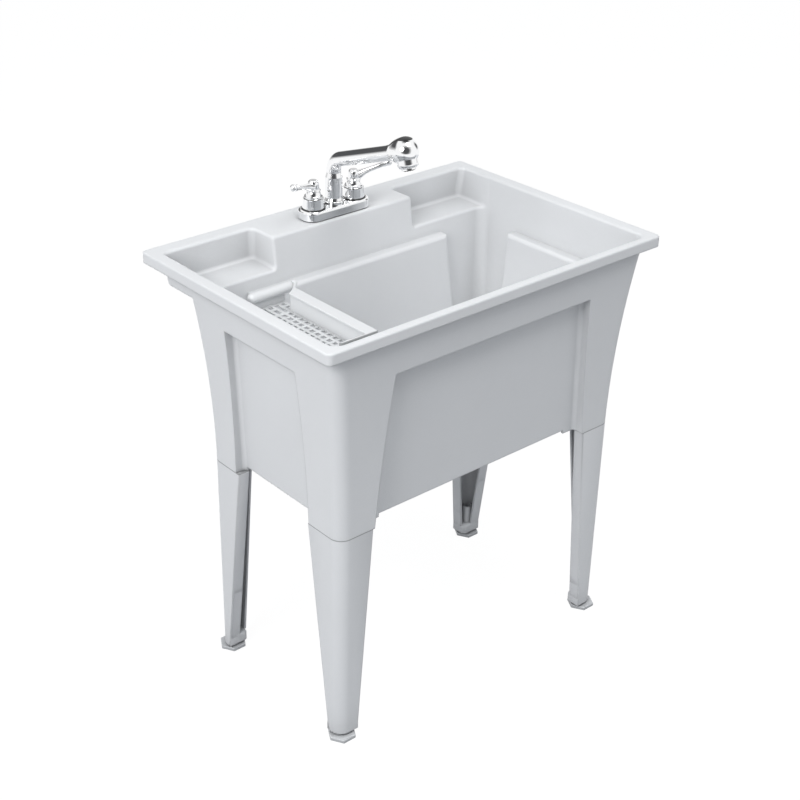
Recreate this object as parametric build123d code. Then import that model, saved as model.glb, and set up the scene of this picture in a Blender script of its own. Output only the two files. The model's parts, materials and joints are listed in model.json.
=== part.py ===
from build123d import *
import math
import os

# Utility laundry sink on four legs, with a lift-out drain tray and a two-handle faucet with a spray head.
# Millimetres. The origin is on the floor under the middle of the rim. +Z is up, the user stands at -Y,
# and the faucet is at +Y.

# ---------------------------------------------------------------- driving dimensions: tub
RIM_LENGTH = 813.0
RIM_DEPTH = 560.0
RIM_HEIGHT = 857.0
RIM_SKIRT = 21.0
RIM_PLATE = 5.0
RIM_CORNER = 11.0
RIM_EDGE = 3.0
MOUTH_EDGE = 6.0
WALL = 5.0
SHELF_BACK = RIM_DEPTH / 2 - 35.0
SHELF_INNER = 176.0
SHELF_DEPTH = 63.0
SHELF_CORNER = 12.0
SHELF_ROUND = 7.0
SHELF_SET_IN = 1.0

# The posts stand in from the edges of the rim, and the walls above them lean out on arcs. Each LEAN is
# how far a wall has leaned out by the height of the rim.
POST_HALF = RIM_LENGTH / 2 - 51.5
POST_FRONT = 37.0 - RIM_DEPTH / 2
POST_BACK = RIM_DEPTH / 2 - 130.0
POST_BOTTOM = 454.0
POST_CORNER = 25.0
FLARE_START = 440.0
LEAN_SIDE = 30.0
LEAN_FRONT = 26.0
LEAN_FRONT_INSIDE = 23.0
LEAN_BACK = 34.0

RIB_THICKNESS = 3.0
RIB_HEIGHT = 7.0
RIB_CLEAR = 1.0
FLOOR_UNDERSIDE = POST_BOTTOM + RIB_HEIGHT + RIB_CLEAR
FLOOR_DRAIN = FLOOR_UNDERSIDE + WALL
FLOOR_FALL = 8.0
POST_FLOOR_RISE = 41.0
FLOOR_EDGE = FLOOR_DRAIN + FLOOR_FALL
POST_FLOOR = FLOOR_EDGE + POST_FLOOR_RISE
BASIN_CORNER = 24.0

PANEL_DROP = 95.0
PANEL_TOP = RIM_HEIGHT - PANEL_DROP
PANEL_CORNER = 8.0
PANEL_FRONT_TOP_HALF = POST_HALF - 113.0
PANEL_FRONT_LOW_HALF = POST_HALF - 83.0
PANEL_FRONT_TOP_DEPTH = 23.0
PANEL_FRONT_LOW_DEPTH = 25.0
PANEL_SIDE_TOP = (POST_FRONT + 99.0, POST_BACK - 86.0)
PANEL_SIDE_LOW = (POST_FRONT + 87.0, POST_BACK - 80.0)
PANEL_SIDE_DEPTH = 23.0

SOCKET_RISE = 48.0
SOCKET_TOP = POST_BOTTOM + SOCKET_RISE
SOCKET_DEPTH = 15.0
FIT_GAP = 0.3

# ---------------------------------------------------------------- driving dimensions: legs and feet
LEG_BOTTOM = 12.0
LEG_WALL = 4.5
LEG_DEPTH = 25.0
LEG_FRONT_TOP_WIDTH = 79.0
LEG_FRONT_LOW_WIDTH = 46.0
LEG_SIDE_TOP_WIDTH = 89.0
LEG_SIDE_LOW_WIDTH = 32.0
LEG_TONGUE_RISE = 42.0
LEG_WEB = 6.0
LEG_SHOE = 50.0
LEG_SHOE_DEPTH = 42.0
LEG_SHOE_HEIGHT = 22.0
LEG_SHOE_CORNER = 28.0
LEG_BOSS_RADIUS = 13.0
LEG_BOSS_TOP = 74.0
FOOT_INSET_X = 20.0
FOOT_INSET_Y = 16.0
FOOT_ACROSS_FLATS = 49.0
FOOT_HEX = 7.0
FOOT_STEM_RADIUS = 6.0
FOOT_STEM_TOP = 62.0
LOCKNUT_HEIGHT = 4.0
LOCKNUT_RADIUS = 11.0
SCREW_RADIUS = 2.5
SCREW_HEAD_RADIUS = 5.0
SCREW_HEAD = 3.0
SCREW_LENGTH = 14.0
SCREW_BOSS_RADIUS = 7.0
SCREW_INSET_X = 45.0
SCREW_INSET_Y = 47.0

# ---------------------------------------------------------------- driving dimensions: drain
DRAIN_X = 0.0
DRAIN_Y = (POST_FRONT + POST_BACK) / 2
DRAIN_RECESS = 2.0
DRAIN_FLANGE_RADIUS = 43.0
DRAIN_FLANGE = 2.0
DRAIN_SEAL = 1.0
DRAIN_CUP_RADIUS = 31.0
DRAIN_CUP_WALL = 2.0
DRAIN_CUP_DEPTH = 39.0
DRAIN_NECK_RADIUS = 23.0
DRAIN_NECK = 20.0
DRAIN_WASHER = 3.0
DRAIN_NUT = 12.0
DRAIN_NUT_RADIUS = 42.0
TAILPIECE_RADIUS = 19.05
TAILPIECE_WALL = 1.5
TAILPIECE_LENGTH = 54.0
TAILPIECE_FLANGE = 2.0
TAILPIECE_SHOULDER = 0.5
SLIP_NUT_RADIUS = 28.0
SLIP_NUT = 20.0
BASKET_RADIUS = 27.0
BASKET_DEPTH = 26.0
BASKET_WALL = 1.5
BASKET_RIM_RADIUS = 34.0
KNOB_STEM_RADIUS = 3.0
KNOB_RADIUS = 8.0

# ---------------------------------------------------------------- driving dimensions: drain tray
TRAY_DEPTH = 35.0
TRAY_SUNK = 0.5
TRAY_FLOOR = RIM_HEIGHT - TRAY_DEPTH
TRAY_TOP = RIM_HEIGHT - TRAY_SUNK
TRAY_WALL = 3.0
TRAY_WIDTH = 73.0
TRAY_LENGTH = 254.0
TRAY_GAP = 1.0
TRAY_CORNER = 22.0
TRAY_LIP_INNER = 6.0
TRAY_LIP_OUTER = 18.0
TRAY_LIP_LENGTH = 211.0
TRAY_LIP_SLANT = 12.0
TRAY_LIP_THICK = 4.0
TRAY_LIP_TURN = 10.0
TRAY_GRIP_REACH = 37.0
TRAY_GRIP_WIDTH = 8.0
TRAY_ROLL_RADIUS = 9.0
TRAY_ROLL_INSET = 9.0
TRAY_ROLL_SUNK = 2.0
TRAY_BAY_REACH = 14.0
TRAY_SLOT_X = 8.5
TRAY_SLOT_Y = 10.0
TRAY_PITCH_X = 14.0
TRAY_PITCH_Y = 15.5
TRAY_MARGIN = 6.0
RAIL_DROP = 9.0
RAIL_HEIGHT = 30.0
RAIL_TOP = TRAY_FLOOR - RAIL_DROP
RAIL_BOTTOM = RAIL_TOP - RAIL_HEIGHT
RAIL_NECK = 6.0
RAIL_HEAD = 14.0
RAIL_HEAD_DEPTH = 4.0
RAIL_STEPS = (51.0, 148.0, 240.0)
SKIRT_INSET = 12.0

# ---------------------------------------------------------------- driving dimensions: faucet
FAUCET_Y = RIM_DEPTH / 2 - 68.0
FAUCET_CENTRES = 101.6
DECK_PAD = 2.0
BASE_LENGTH = 160.0
BASE_DEPTH = 56.0
BASE_HEIGHT = 18.0
BASE_WALL = 3.0
BASE_CORNER = 24.0
BASE_ROUND = 5.0
SHANK_RADIUS = 10.3
SHANK_NECK_RADIUS = 10.8
SHANK_BORE = 6.5
SHANK_REACH = 57.0
SHANK_HOLE_RADIUS = 14.0
MOUNT_WASHER_RADIUS = 22.0
MOUNT_WASHER = 2.5
MOUNT_NUT_RADIUS = 19.0
MOUNT_NUT = 9.0
CROSS_RADIUS = 7.0
SEAT_RADIUS = 13.0
SEAT_PROUD = 3.0
CARTRIDGE_RADIUS = 10.5
CARTRIDGE_SUNK = 11.0
CARTRIDGE_PROUD = 3.0
CLAMP_RADIUS = 12.5
CLAMP_HEIGHT = 8.0
STEM_RADIUS = 4.0
STEM_SUNK = 17.0
STEM_PROUD = 17.0
BONNET_RADIUS = 22.5
BONNET_HEIGHT = 21.0
BONNET_FOOT = 3.0
BONNET_WALL = 2.0
HUB_LOW_RADIUS = 19.5
HUB_TOP_RADIUS = 11.5
HUB_HEIGHT = 34.0
HUB_ROUND = 3.0
HUB_GAP = 0.6
LEVER_LENGTH = 82.0
LEVER_TURN = 21.4
LEVER_RISE = 23.0
LEVER_ROOT_DROP = 13.0
LEVER_BALL = 7.2
LEVER_ROOT_RADIUS = 7.0
LEVER_WAIST_RADIUS = 5.2
LEVER_END_RADIUS = 5.8
LEVER_RING_RADIUS = 6.8
SCREW_SHANK = 2.0
HANDLE_SCREW = 10.0
CAP_RADIUS = 8.0
CAP_HEIGHT = 6.0
CAP_PROUD = 1.5

COLUMN_RADIUS = 17.5
COLLAR_RADIUS = 22.0
COLLAR_HEIGHT = 7.0
ARM_RADIUS = 14.7
ARM_BORE = 11.0
ARM_SLOPE = 19.1
ARM_AXIS_RISE = 87.4
BEND_RADIUS = 34.0
ARM_END_Y = 46.0
POST_RADIUS = 14.0
POST_BORE = 8.0
POST_RISE = 53.0
RING_WIRE = 1.2
RING_RISES = (15.0, 45.0)
GRUB_RISE = 29.0
GRUB_RADIUS = 2.0
SLEEVE_LENGTH = 16.0
RUN_GAP = 0.05

HEAD_RADIUS = 25.5
HEAD_BELLY = 46.0
HEAD_WALL = 2.5
NECK_RADIUS = 20.0
NECK_STRAIGHT = 23.0
NECK_REACH = 35.0
NECK_END_RADIUS = 14.0
NOZZLE_THICK = 6.0
NOZZLE_PROUD = 1.0
NOZZLE_PIP = 1.2
BUTTON_LENGTH = 56.0
BUTTON_WIDTH = 28.0
BUTTON_PLACE = 36.0
BUTTON_PROUD = 0.8
BUTTON_LOW = 6.0
HEAD_COLLAR_RADIUS = 15.4
HEAD_COLLAR = 9.0
HOSE_RADIUS = 7.0
HOSE_LENGTH = 130.0

# ---------------------------------------------------------------- derived places
RIM_HALF = RIM_LENGTH / 2
RIM_BACK = RIM_DEPTH / 2
PLATE_UNDERSIDE = RIM_HEIGHT - RIM_PLATE
POST_MIDDLE = (POST_FRONT + POST_BACK) / 2
DRAIN_SEAT = FLOOR_DRAIN - DRAIN_RECESS
DRAIN_TOP = DRAIN_SEAT + DRAIN_SEAL + DRAIN_FLANGE
DRAIN_CUP_BOTTOM = DRAIN_SEAT - DRAIN_CUP_DEPTH
DRAIN_NECK_BOTTOM = DRAIN_CUP_BOTTOM - DRAIN_NECK
SHELF_FLOOR = RIM_HEIGHT - SHELF_DEPTH
VALVE_X = FAUCET_CENTRES / 2
PAD_TOP = RIM_HEIGHT + DECK_PAD
BASE_TOP = PAD_TOP + BASE_HEIGHT
SHANK_BOTTOM = RIM_HEIGHT - SHANK_REACH
SEAT_TOP = BASE_TOP + SEAT_PROUD
CARTRIDGE_LOW = BASE_TOP - CARTRIDGE_SUNK
CARTRIDGE_TOP = BASE_TOP + BONNET_HEIGHT + CARTRIDGE_PROUD
STEM_LOW = CARTRIDGE_TOP - STEM_SUNK
STEM_TOP = CARTRIDGE_TOP + STEM_PROUD
HUB_LOW = BASE_TOP + BONNET_HEIGHT + HUB_GAP
HUB_TOP = HUB_LOW + HUB_HEIGHT
LEVER_ROOT_Z = HUB_TOP - LEVER_ROOT_DROP
CAP_FLOOR = HUB_TOP - CAP_HEIGHT - SCREW_HEAD
POST_TOP = BASE_TOP + POST_RISE
RING_HEIGHTS = [BASE_TOP + rise for rise in RING_RISES]
GRUB_HEIGHT = BASE_TOP + GRUB_RISE
ARM_AXIS_Z = BASE_TOP + ARM_AXIS_RISE
SLOPE = math.radians(ARM_SLOPE)
ARM_WAY = Vector(0, -math.cos(SLOPE), math.sin(SLOPE))
BEND_CORNER = Vector(0, FAUCET_Y, ARM_AXIS_Z)
ARM_END = BEND_CORNER + ARM_WAY * ((FAUCET_Y - ARM_END_Y) / math.cos(SLOPE))
BEND_TANGENT = BEND_RADIUS * math.tan(math.radians((90 - ARM_SLOPE) / 2))
FOOT_X = POST_HALF - FOOT_INSET_X
FOOT_FRONT = POST_FRONT + FOOT_INSET_Y
CORNERS = {
    "front_left": (-1, -1),
    "front_right": (1, -1),
    "back_left": (-1, 1),
    "back_right": (1, 1),
}


# ---------------------------------------------------------------- shared shapes
def block(x, y, z):
    """Box between the pairs of limits x, y and z."""
    size = Box(x[1] - x[0], y[1] - y[0], z[1] - z[0])
    return Pos((x[0] + x[1]) / 2, (y[0] + y[1]) / 2, (z[0] + z[1]) / 2) * size


def rod(radius, x, y, low, high):
    """Upright cylinder between two heights."""
    return Pos(x, y, (low + high) / 2) * Cylinder(radius, high - low)


def tube(outer, inner, x, y, low, high):
    """Upright tube between two heights."""
    return rod(outer, x, y, low, high) - rod(inner, x, y, low - 1, high + 1)


def hexagon(radius, x, y, low, high):
    """Upright hexagonal bar; radius is to its corners."""
    return extrude(Pos(x, y, low) * RegularPolygon(radius, 6), high - low)


def turned(outline, x=0.0, y=0.0):
    """Solid turned about an upright axis from an outline of (radius, height) points."""
    return Pos(x, y, 0) * revolve(Plane.XZ * make_face(Polyline(*outline, close=True)), Axis.Z)


def flare(lean, height):
    """How far a wall leans out at a height, on an arc that is upright at FLARE_START."""
    if not lean:
        return 0.0
    whole = RIM_HEIGHT - FLARE_START
    radius = (whole**2 + lean**2) / (2 * lean)
    rise = height - FLARE_START
    return radius - math.sqrt(radius**2 - rise**2)


def flared_profile(low_side, high_side, low_lean, high_lean, bottom, top):
    """Upright face whose two sides lean outward along arcs."""
    middle = (bottom + top) / 2
    left = [(low_side - flare(low_lean, z), z) for z in (bottom, middle, top)]
    right = [(high_side + flare(high_lean, z), z) for z in (bottom, middle, top)]
    left_edge = ThreePointArc(*left) if low_lean else Line(left[0], left[2])
    return make_face([Line(left[0], right[0]), ThreePointArc(*right), Line(right[2], left[2]), left_edge])


def flared_body(half, front, back, corner, leans, bottom, top):
    """Block with four outward-leaning walls and rounded upright corners; leans: side, front, back."""
    across = Plane.XZ * flared_profile(-half, half, leans[0], leans[0], bottom, top)
    along = Plane.YZ * flared_profile(front, back, leans[1], leans[2], bottom, top)
    body = extrude(across, RIM_DEPTH, both=True) & extrude(along, RIM_LENGTH, both=True)
    height = top - bottom
    upright = [e for e in body.edges() if e.bounding_box().size.Z > 0.9 * height]
    return fillet(upright, corner)


# ---------------------------------------------------------------- tub
def panel_front(grow, side):
    """Wedge of a recessed panel in the front (side -1) or back (side 1) wall, grown by grow on its faces."""
    lean = LEAN_FRONT if side < 0 else LEAN_BACK
    post_face = abs(POST_FRONT - POST_MIDDLE)
    top = PANEL_TOP + grow
    low_plane = post_face - PANEL_FRONT_LOW_DEPTH - grow
    top_plane = post_face + flare(lean, PANEL_TOP) - PANEL_FRONT_TOP_DEPTH - grow
    bottom = POST_BOTTOM - 1
    far = RIM_DEPTH
    section = Polyline((low_plane, bottom), (top_plane, top), (far, top), (far, bottom), close=True)
    wedge = extrude(Plane.YZ * make_face(section), RIM_LENGTH, both=True)
    outline = Polyline(
        (-PANEL_FRONT_LOW_HALF - grow, bottom),
        (PANEL_FRONT_LOW_HALF + grow, bottom),
        (PANEL_FRONT_TOP_HALF + grow, top),
        (-PANEL_FRONT_TOP_HALF - grow, top),
        close=True,
    )
    wedge = wedge & extrude(Plane.XZ * make_face(outline), -RIM_LENGTH)
    wedge = soften_panel(wedge, Axis.Y)
    if side < 0:
        wedge = mirror(wedge, Plane.XZ)
    return Pos(0, POST_MIDDLE, 0) * wedge


def panel_side(grow, side):
    """Wedge of a recessed panel in the left (side -1) or right (side 1) wall, grown by grow on its faces."""
    top = PANEL_TOP + grow
    low_plane = POST_HALF - PANEL_SIDE_DEPTH - grow
    top_plane = low_plane + flare(LEAN_SIDE, PANEL_TOP)
    bottom = POST_BOTTOM - 1
    far = RIM_LENGTH
    section = Polyline((low_plane, bottom), (top_plane, top), (far, top), (far, bottom), close=True)
    wedge = extrude(Plane.XZ * make_face(section), RIM_DEPTH, both=True)
    outline = Polyline(
        (PANEL_SIDE_LOW[0] - grow, bottom),
        (PANEL_SIDE_LOW[1] + grow, bottom),
        (PANEL_SIDE_TOP[1] + grow, top),
        (PANEL_SIDE_TOP[0] - grow, top),
        close=True,
    )
    wedge = wedge & extrude(Plane.YZ * make_face(outline), RIM_LENGTH)
    wedge = soften_panel(wedge, Axis.X)
    if side < 0:
        wedge = mirror(wedge, Plane.YZ)
    return wedge


def soften_panel(wedge, depth_axis):
    """Round the edges that run along the depth of the recess at its top, and those of its flat."""
    flat = wedge.faces().sort_by(depth_axis)[0]
    top_edges = flat.edges().sort_by(Axis.Z)[1:]
    return fillet(top_edges, PANEL_CORNER)


def make_tub():
    half_inside = POST_HALF - WALL
    outside = flared_body(
        POST_HALF, POST_FRONT, POST_BACK, POST_CORNER,
        (LEAN_SIDE, LEAN_FRONT, LEAN_BACK), POST_BOTTOM, PLATE_UNDERSIDE + 1,
    )
    cavity = flared_body(
        half_inside, POST_FRONT + WALL, POST_BACK - WALL, POST_CORNER - WALL,
        (LEAN_SIDE, LEAN_FRONT_INSIDE, LEAN_BACK), FLOOR_EDGE, RIM_HEIGHT + 1,
    )
    lower_half = half_inside - PANEL_SIDE_DEPTH
    lower_front = POST_FRONT + PANEL_FRONT_LOW_DEPTH + WALL
    lower_back = POST_BACK - PANEL_FRONT_LOW_DEPTH - WALL
    bulges = [panel_front(WALL, -1), panel_front(WALL, 1), panel_side(WALL, -1), panel_side(WALL, 1)]
    recesses = [panel_front(0, -1), panel_front(0, 1), panel_side(0, -1), panel_side(0, 1)]

    tub = outside + rim() + shelf_shells()
    # the basin: the wide cavity, less the panels that bulge into it and the solid feet of the posts
    basin = cavity
    for bulge in bulges:
        basin = basin - bulge
    post_feet = block((-RIM_HALF, RIM_HALF), (-RIM_BACK, RIM_BACK), (POST_BOTTOM, POST_FLOOR))
    lower = block((-lower_half, lower_half), (lower_front, lower_back), (FLOOR_EDGE, POST_FLOOR + WALL))
    lower = fillet(lower.edges().filter_by(Axis.Z), BASIN_CORNER)
    basin = basin - (post_feet - lower)
    tub = tub - basin - shelf_pockets()
    for recess in recesses:
        tub = tub - recess
    below_floor = block(
        (-PANEL_FRONT_TOP_HALF, PANEL_FRONT_TOP_HALF), (POST_FRONT, POST_BACK), (POST_BOTTOM, FLOOR_UNDERSIDE)
    ) + block((-POST_HALF, POST_HALF), PANEL_SIDE_TOP, (POST_BOTTOM, FLOOR_UNDERSIDE))
    below_floor += block(
        (-lower_half, lower_half), (lower_front, lower_back), (POST_BOTTOM - 1, FLOOR_UNDERSIDE)
    )
    tub = tub - below_floor
    tub = tub - floor_fall(lower_half, lower_front, lower_back)
    tub = tub + underside_ribs(lower_half, lower_front, lower_back)
    for side in CORNERS.values():
        boss, hole = screw_boss(side)
        tub = tub - leg_socket(side) + boss - hole
    for x in (-VALVE_X, VALVE_X):
        tub = tub - rod(SHANK_HOLE_RADIUS, x, FAUCET_Y, PLATE_UNDERSIDE - 1, RIM_HEIGHT + 1)
    tub = tub - rod(DRAIN_CUP_RADIUS + 1, DRAIN_X, DRAIN_Y, POST_BOTTOM - 1, FLOOR_EDGE)
    tub = tub - rod(DRAIN_FLANGE_RADIUS + 1, DRAIN_X, DRAIN_Y, DRAIN_SEAT, FLOOR_EDGE)
    return soften_mouth(tub) + tray_rails()


def rim():
    """Flat rim plate with its hanging skirt."""
    outline = RectangleRounded(RIM_LENGTH, RIM_DEPTH, RIM_CORNER)
    inner = RectangleRounded(RIM_LENGTH - 2 * WALL, RIM_DEPTH - 2 * WALL, RIM_CORNER - WALL)
    plate = extrude(Pos(0, 0, RIM_HEIGHT - RIM_SKIRT) * outline, RIM_SKIRT)
    plate = fillet(plate.faces().sort_by(Axis.Z)[-1].edges(), RIM_EDGE)
    hollow = extrude(Pos(0, 0, RIM_HEIGHT - RIM_SKIRT - 1) * inner, RIM_SKIRT - RIM_PLATE + 1)
    return plate - hollow


def shelf_shells():
    """Outside of the two soap shelves that hang behind the basin."""
    right = shelf_block(WALL, POST_BACK, SHELF_FLOOR - WALL, PLATE_UNDERSIDE + 1)
    return right + mirror(right, Plane.YZ)


def shelf_pockets():
    """Inside of the two soap shelves, open to the basin."""
    right = shelf_block(0, POST_BACK, SHELF_FLOOR, RIM_HEIGHT + 1)
    return right + mirror(right, Plane.YZ)


def shelf_block(grow, front, low, high):
    """Form of the right shelf, grown by grow; its end wall leans as the basin's side wall does."""
    end = POST_HALF - WALL - SHELF_SET_IN + grow
    across = flared_profile(SHELF_INNER - grow, end, 0, LEAN_SIDE, low, high)
    shelf = extrude(Plane.XZ.offset(-front) * across, front - SHELF_BACK - grow)
    behind = shelf.faces().sort_by(Axis.Y)[-1].edges().sort_by(Axis.Z)[1:3]
    shelf = fillet(behind, SHELF_CORNER + grow)
    bottom = shelf.faces().sort_by(Axis.Z)[0].edges().sort_by(Axis.Y)[1:]
    return fillet(bottom, SHELF_ROUND + grow)


def soften_mouth(tub):
    """Round the edge of the rim's opening, and the edges where the shelves open into the basin."""
    top = tub.faces().filter_by(Plane.XY).sort_by(Axis.Z)[-1]
    mouth = max(top.inner_wires(), key=lambda wire: wire.length)
    side = POST_HALF - WALL - SHELF_ROUND + flare(LEAN_SIDE, SHELF_FLOOR)
    back = POST_BACK - WALL - SHELF_ROUND + flare(LEAN_BACK, SHELF_FLOOR)
    lips = []
    for edge in tub.edges():
        low, high = edge.bounding_box().min, edge.bounding_box().max
        in_back_wall = low.Y > back and high.Y < POST_BACK - WALL + LEAN_BACK + FIT_GAP
        beside_shelf = SHELF_INNER - FIT_GAP < abs(edge.center().X) < side
        if in_back_wall and beside_shelf and low.Z > SHELF_FLOOR - FIT_GAP and high.Z < RIM_HEIGHT + FIT_GAP:
            lips.append(edge)
    return fillet(list(mouth.edges()) + lips, MOUTH_EDGE)


def floor_fall(half, front, back):
    """The four shallow planes of the basin floor that fall to the drain."""
    high = Pos(0, (front + back) / 2, FLOOR_EDGE + 0.01) * Rectangle(2 * half - WALL, back - front - WALL)
    low = Pos(DRAIN_X, DRAIN_Y, FLOOR_DRAIN) * Rectangle(2 * DRAIN_FLANGE_RADIUS, 2 * DRAIN_FLANGE_RADIUS)
    return loft([low, high], ruled=True)


def underside_ribs(half, front, back):
    """Stiffening ribs under the basin floor, from the drain to the walls."""
    low = FLOOR_UNDERSIDE - RIB_HEIGHT
    thick = RIB_THICKNESS / 2
    ribs = block((-half, half), (DRAIN_Y - thick, DRAIN_Y + thick), (low, FLOOR_UNDERSIDE))
    for x in (-half * 2 / 3, -half / 3, 0, half / 3, half * 2 / 3):
        ribs += block((x - thick, x + thick), (front, back), (low, FLOOR_UNDERSIDE))
    ribs += tube(DRAIN_NUT_RADIUS + 14, DRAIN_NUT_RADIUS + 11, DRAIN_X, DRAIN_Y, low, FLOOR_UNDERSIDE)
    return ribs - rod(DRAIN_NUT_RADIUS + 11, DRAIN_X, DRAIN_Y, low - 1, FLOOR_UNDERSIDE)


# A corner is worked out for the front left one, with its outer walls at x = -POST_HALF and
# y = POST_FRONT, and mirrored to the others about the middle of the posts.
def to_corner(shape, side):
    if side[0] > 0:
        shape = mirror(shape, Plane.YZ)
    if side[1] > 0:
        shape = mirror(shape, Plane.XZ.offset(-POST_MIDDLE))
    return shape


def corner_bar(inset, depth, low, high, front_width, side_width, corner):
    """L-shaped bar set in from the post's outer faces, with its bend rounded inside and out."""
    x0 = -POST_HALF + inset
    y0 = POST_FRONT + inset
    x1 = -POST_HALF + front_width
    y1 = POST_FRONT + side_width
    inner = max(corner - depth, 1)
    x2 = x0 + depth
    y2 = y0 + depth
    face = make_face(
        [
            Line((x0 + corner, y0), (x1, y0)),
            Line((x1, y0), (x1, y2)),
            Line((x1, y2), (x2 + inner, y2)),
            TangentArc((x2 + inner, y2), (x2, y2 + inner), tangent=(-1, 0)),
            Line((x2, y2 + inner), (x2, y1)),
            Line((x2, y1), (x0, y1)),
            Line((x0, y1), (x0, y0 + corner)),
            TangentArc((x0, y0 + corner), (x0 + corner, y0), tangent=(0, -1)),
        ]
    )
    return extrude(Pos(0, 0, low) * face, high - low)


def leg_socket(side):
    """Pocket in the foot of a post, open below, that takes the tongue of a leg."""
    pocket = corner_bar(
        WALL, SOCKET_DEPTH, POST_BOTTOM - 1, SOCKET_TOP,
        LEG_FRONT_TOP_WIDTH - WALL, LEG_SIDE_TOP_WIDTH - 2 * WALL, POST_CORNER - WALL,
    )
    return to_corner(pocket, side)


def screw_places():
    """Centre of the screw that holds a leg's web to the tub, for the front left leg."""
    return (-POST_HALF + SCREW_INSET_X, POST_FRONT + SCREW_INSET_Y)


def screw_boss(side):
    """Boss under the basin floor for the screw of a leg."""
    x, y = screw_places()
    boss = rod(SCREW_BOSS_RADIUS, x, y, POST_BOTTOM, FLOOR_UNDERSIDE + 1)
    hole = rod(SCREW_RADIUS, x, y, POST_BOTTOM - 1, POST_BOTTOM - LEG_WEB + SCREW_LENGTH + FIT_GAP)
    return to_corner(boss, side), to_corner(hole, side)


def tray_rails():
    """T-shaped upright rails on the left inner wall that hold the tray's skirt."""
    wall_x = -(POST_HALF - WALL + flare(LEAN_SIDE, RAIL_BOTTOM))
    skirt_inner = TRAY_LEFT + SKIRT_INSET
    rails = []
    for step in RAIL_STEPS:
        y = TRAY_FRONT + step
        neck = block(
            (wall_x - WALL / 2, skirt_inner + FIT_GAP + RAIL_HEAD_DEPTH / 2),
            (y - RAIL_NECK / 2, y + RAIL_NECK / 2), (RAIL_BOTTOM, RAIL_TOP),
        )
        head = block(
            (skirt_inner + FIT_GAP, skirt_inner + FIT_GAP + RAIL_HEAD_DEPTH),
            (y - RAIL_HEAD / 2, y + RAIL_HEAD / 2), (RAIL_BOTTOM, RAIL_TOP),
        )
        rails.append(neck + head)
    return rails[0] + rails[1] + rails[2]


# ---------------------------------------------------------------- legs and feet
def make_leg(side):
    """Tapered channel with two outer walls and return lips, a tongue above and a foot socket below."""
    top = POST_BOTTOM
    leg = leg_block(0, 0) - leg_block(LEG_WALL, LEG_WALL) + leg_web() + leg_shoe()
    tongue_inset = WALL + FIT_GAP
    leg = leg + corner_bar(
        tongue_inset, LEG_WALL, top - LEG_WEB / 2, top + LEG_TONGUE_RISE,
        LEG_FRONT_TOP_WIDTH - 2 * WALL, LEG_SIDE_TOP_WIDTH - 3 * WALL, POST_CORNER - tongue_inset,
    )
    foot_x, foot_y = -FOOT_X, FOOT_FRONT
    leg = leg + rod(LEG_BOSS_RADIUS, foot_x, foot_y, LEG_BOTTOM, LEG_BOSS_TOP)
    leg = leg - rod(FOOT_STEM_RADIUS + RUN_GAP, foot_x, foot_y, LEG_BOTTOM - 1, LEG_BOSS_TOP + 1)
    return to_corner(leg, side)


def leg_block(inset, lip):
    """Outer form of a leg (0, 0), or the space inside it (wall, lip), which stays open inward."""
    top = POST_BOTTOM - (LEG_WEB if inset else 0)
    low = LEG_BOTTOM + inset
    reach = LEG_DEPTH + (LEG_DEPTH if inset else 0)
    x0 = -POST_HALF + inset
    y0 = POST_FRONT + inset
    front = Polyline(
        (x0, low), (x0, top),
        (-POST_HALF + LEG_FRONT_TOP_WIDTH - lip, top),
        (-POST_HALF + LEG_FRONT_LOW_WIDTH - lip, low),
        close=True,
    )
    plate = extrude(Plane.XZ.offset(-y0) * make_face(front), -(reach - inset))
    side = Polyline(
        (y0, low), (y0, top),
        (POST_FRONT + LEG_SIDE_TOP_WIDTH - lip, top),
        (POST_FRONT + LEG_SIDE_LOW_WIDTH - lip, low),
        close=True,
    )
    plate += extrude(Plane.YZ.offset(x0) * make_face(side), reach - inset)
    upright = [e for e in plate.edges() if e.center().X < x0 + 0.01 and e.center().Y < y0 + 0.01]
    return fillet(upright, POST_CORNER - inset)


def leg_web():
    """Plate across the top of a leg, with the seat of the screw into the tub."""
    low = POST_BOTTOM - LEG_WEB
    high = POST_BOTTOM
    x, y = screw_places()
    web = Polyline(
        (-POST_HALF + LEG_WALL / 2, POST_FRONT + POST_CORNER),
        (-POST_HALF + POST_CORNER, POST_FRONT + LEG_WALL / 2),
        (-POST_HALF + LEG_FRONT_TOP_WIDTH - LEG_WALL, POST_FRONT + LEG_WALL / 2),
        (x + SCREW_BOSS_RADIUS + LEG_WALL, y),
        (x, y + SCREW_BOSS_RADIUS + LEG_WALL),
        (-POST_HALF + LEG_WALL / 2, POST_FRONT + LEG_SIDE_TOP_WIDTH - LEG_WALL),
        close=True,
    )
    plate = extrude(Pos(0, 0, low) * make_face(web), high - low)
    return plate - rod(SCREW_RADIUS, x, y, low - 1, high + 1)


def leg_shoe():
    """Block at the foot of a leg that reaches past its free edges."""
    shoe = block(
        (-POST_HALF, -POST_HALF + LEG_SHOE), (POST_FRONT, POST_FRONT + LEG_SHOE_DEPTH),
        (LEG_BOTTOM, LEG_BOTTOM + LEG_SHOE_HEIGHT),
    )
    outer = (-POST_HALF, POST_FRONT, LEG_BOTTOM)
    inner = (-POST_HALF + LEG_SHOE, POST_FRONT + LEG_SHOE_DEPTH, LEG_BOTTOM)
    shoe = fillet(shoe.edges().filter_by(Axis.Z).sort_by_distance(outer)[0], POST_CORNER)
    shoe = fillet(shoe.edges().filter_by(Axis.Z).sort_by_distance(inner)[0], LEG_SHOE_CORNER)
    inner_edges = shoe.faces().sort_by(Axis.Z)[-1].edges().sort_by_distance(outer)[-3:]
    return chamfer(inner_edges, LEG_SHOE_HEIGHT / 3)


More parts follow.
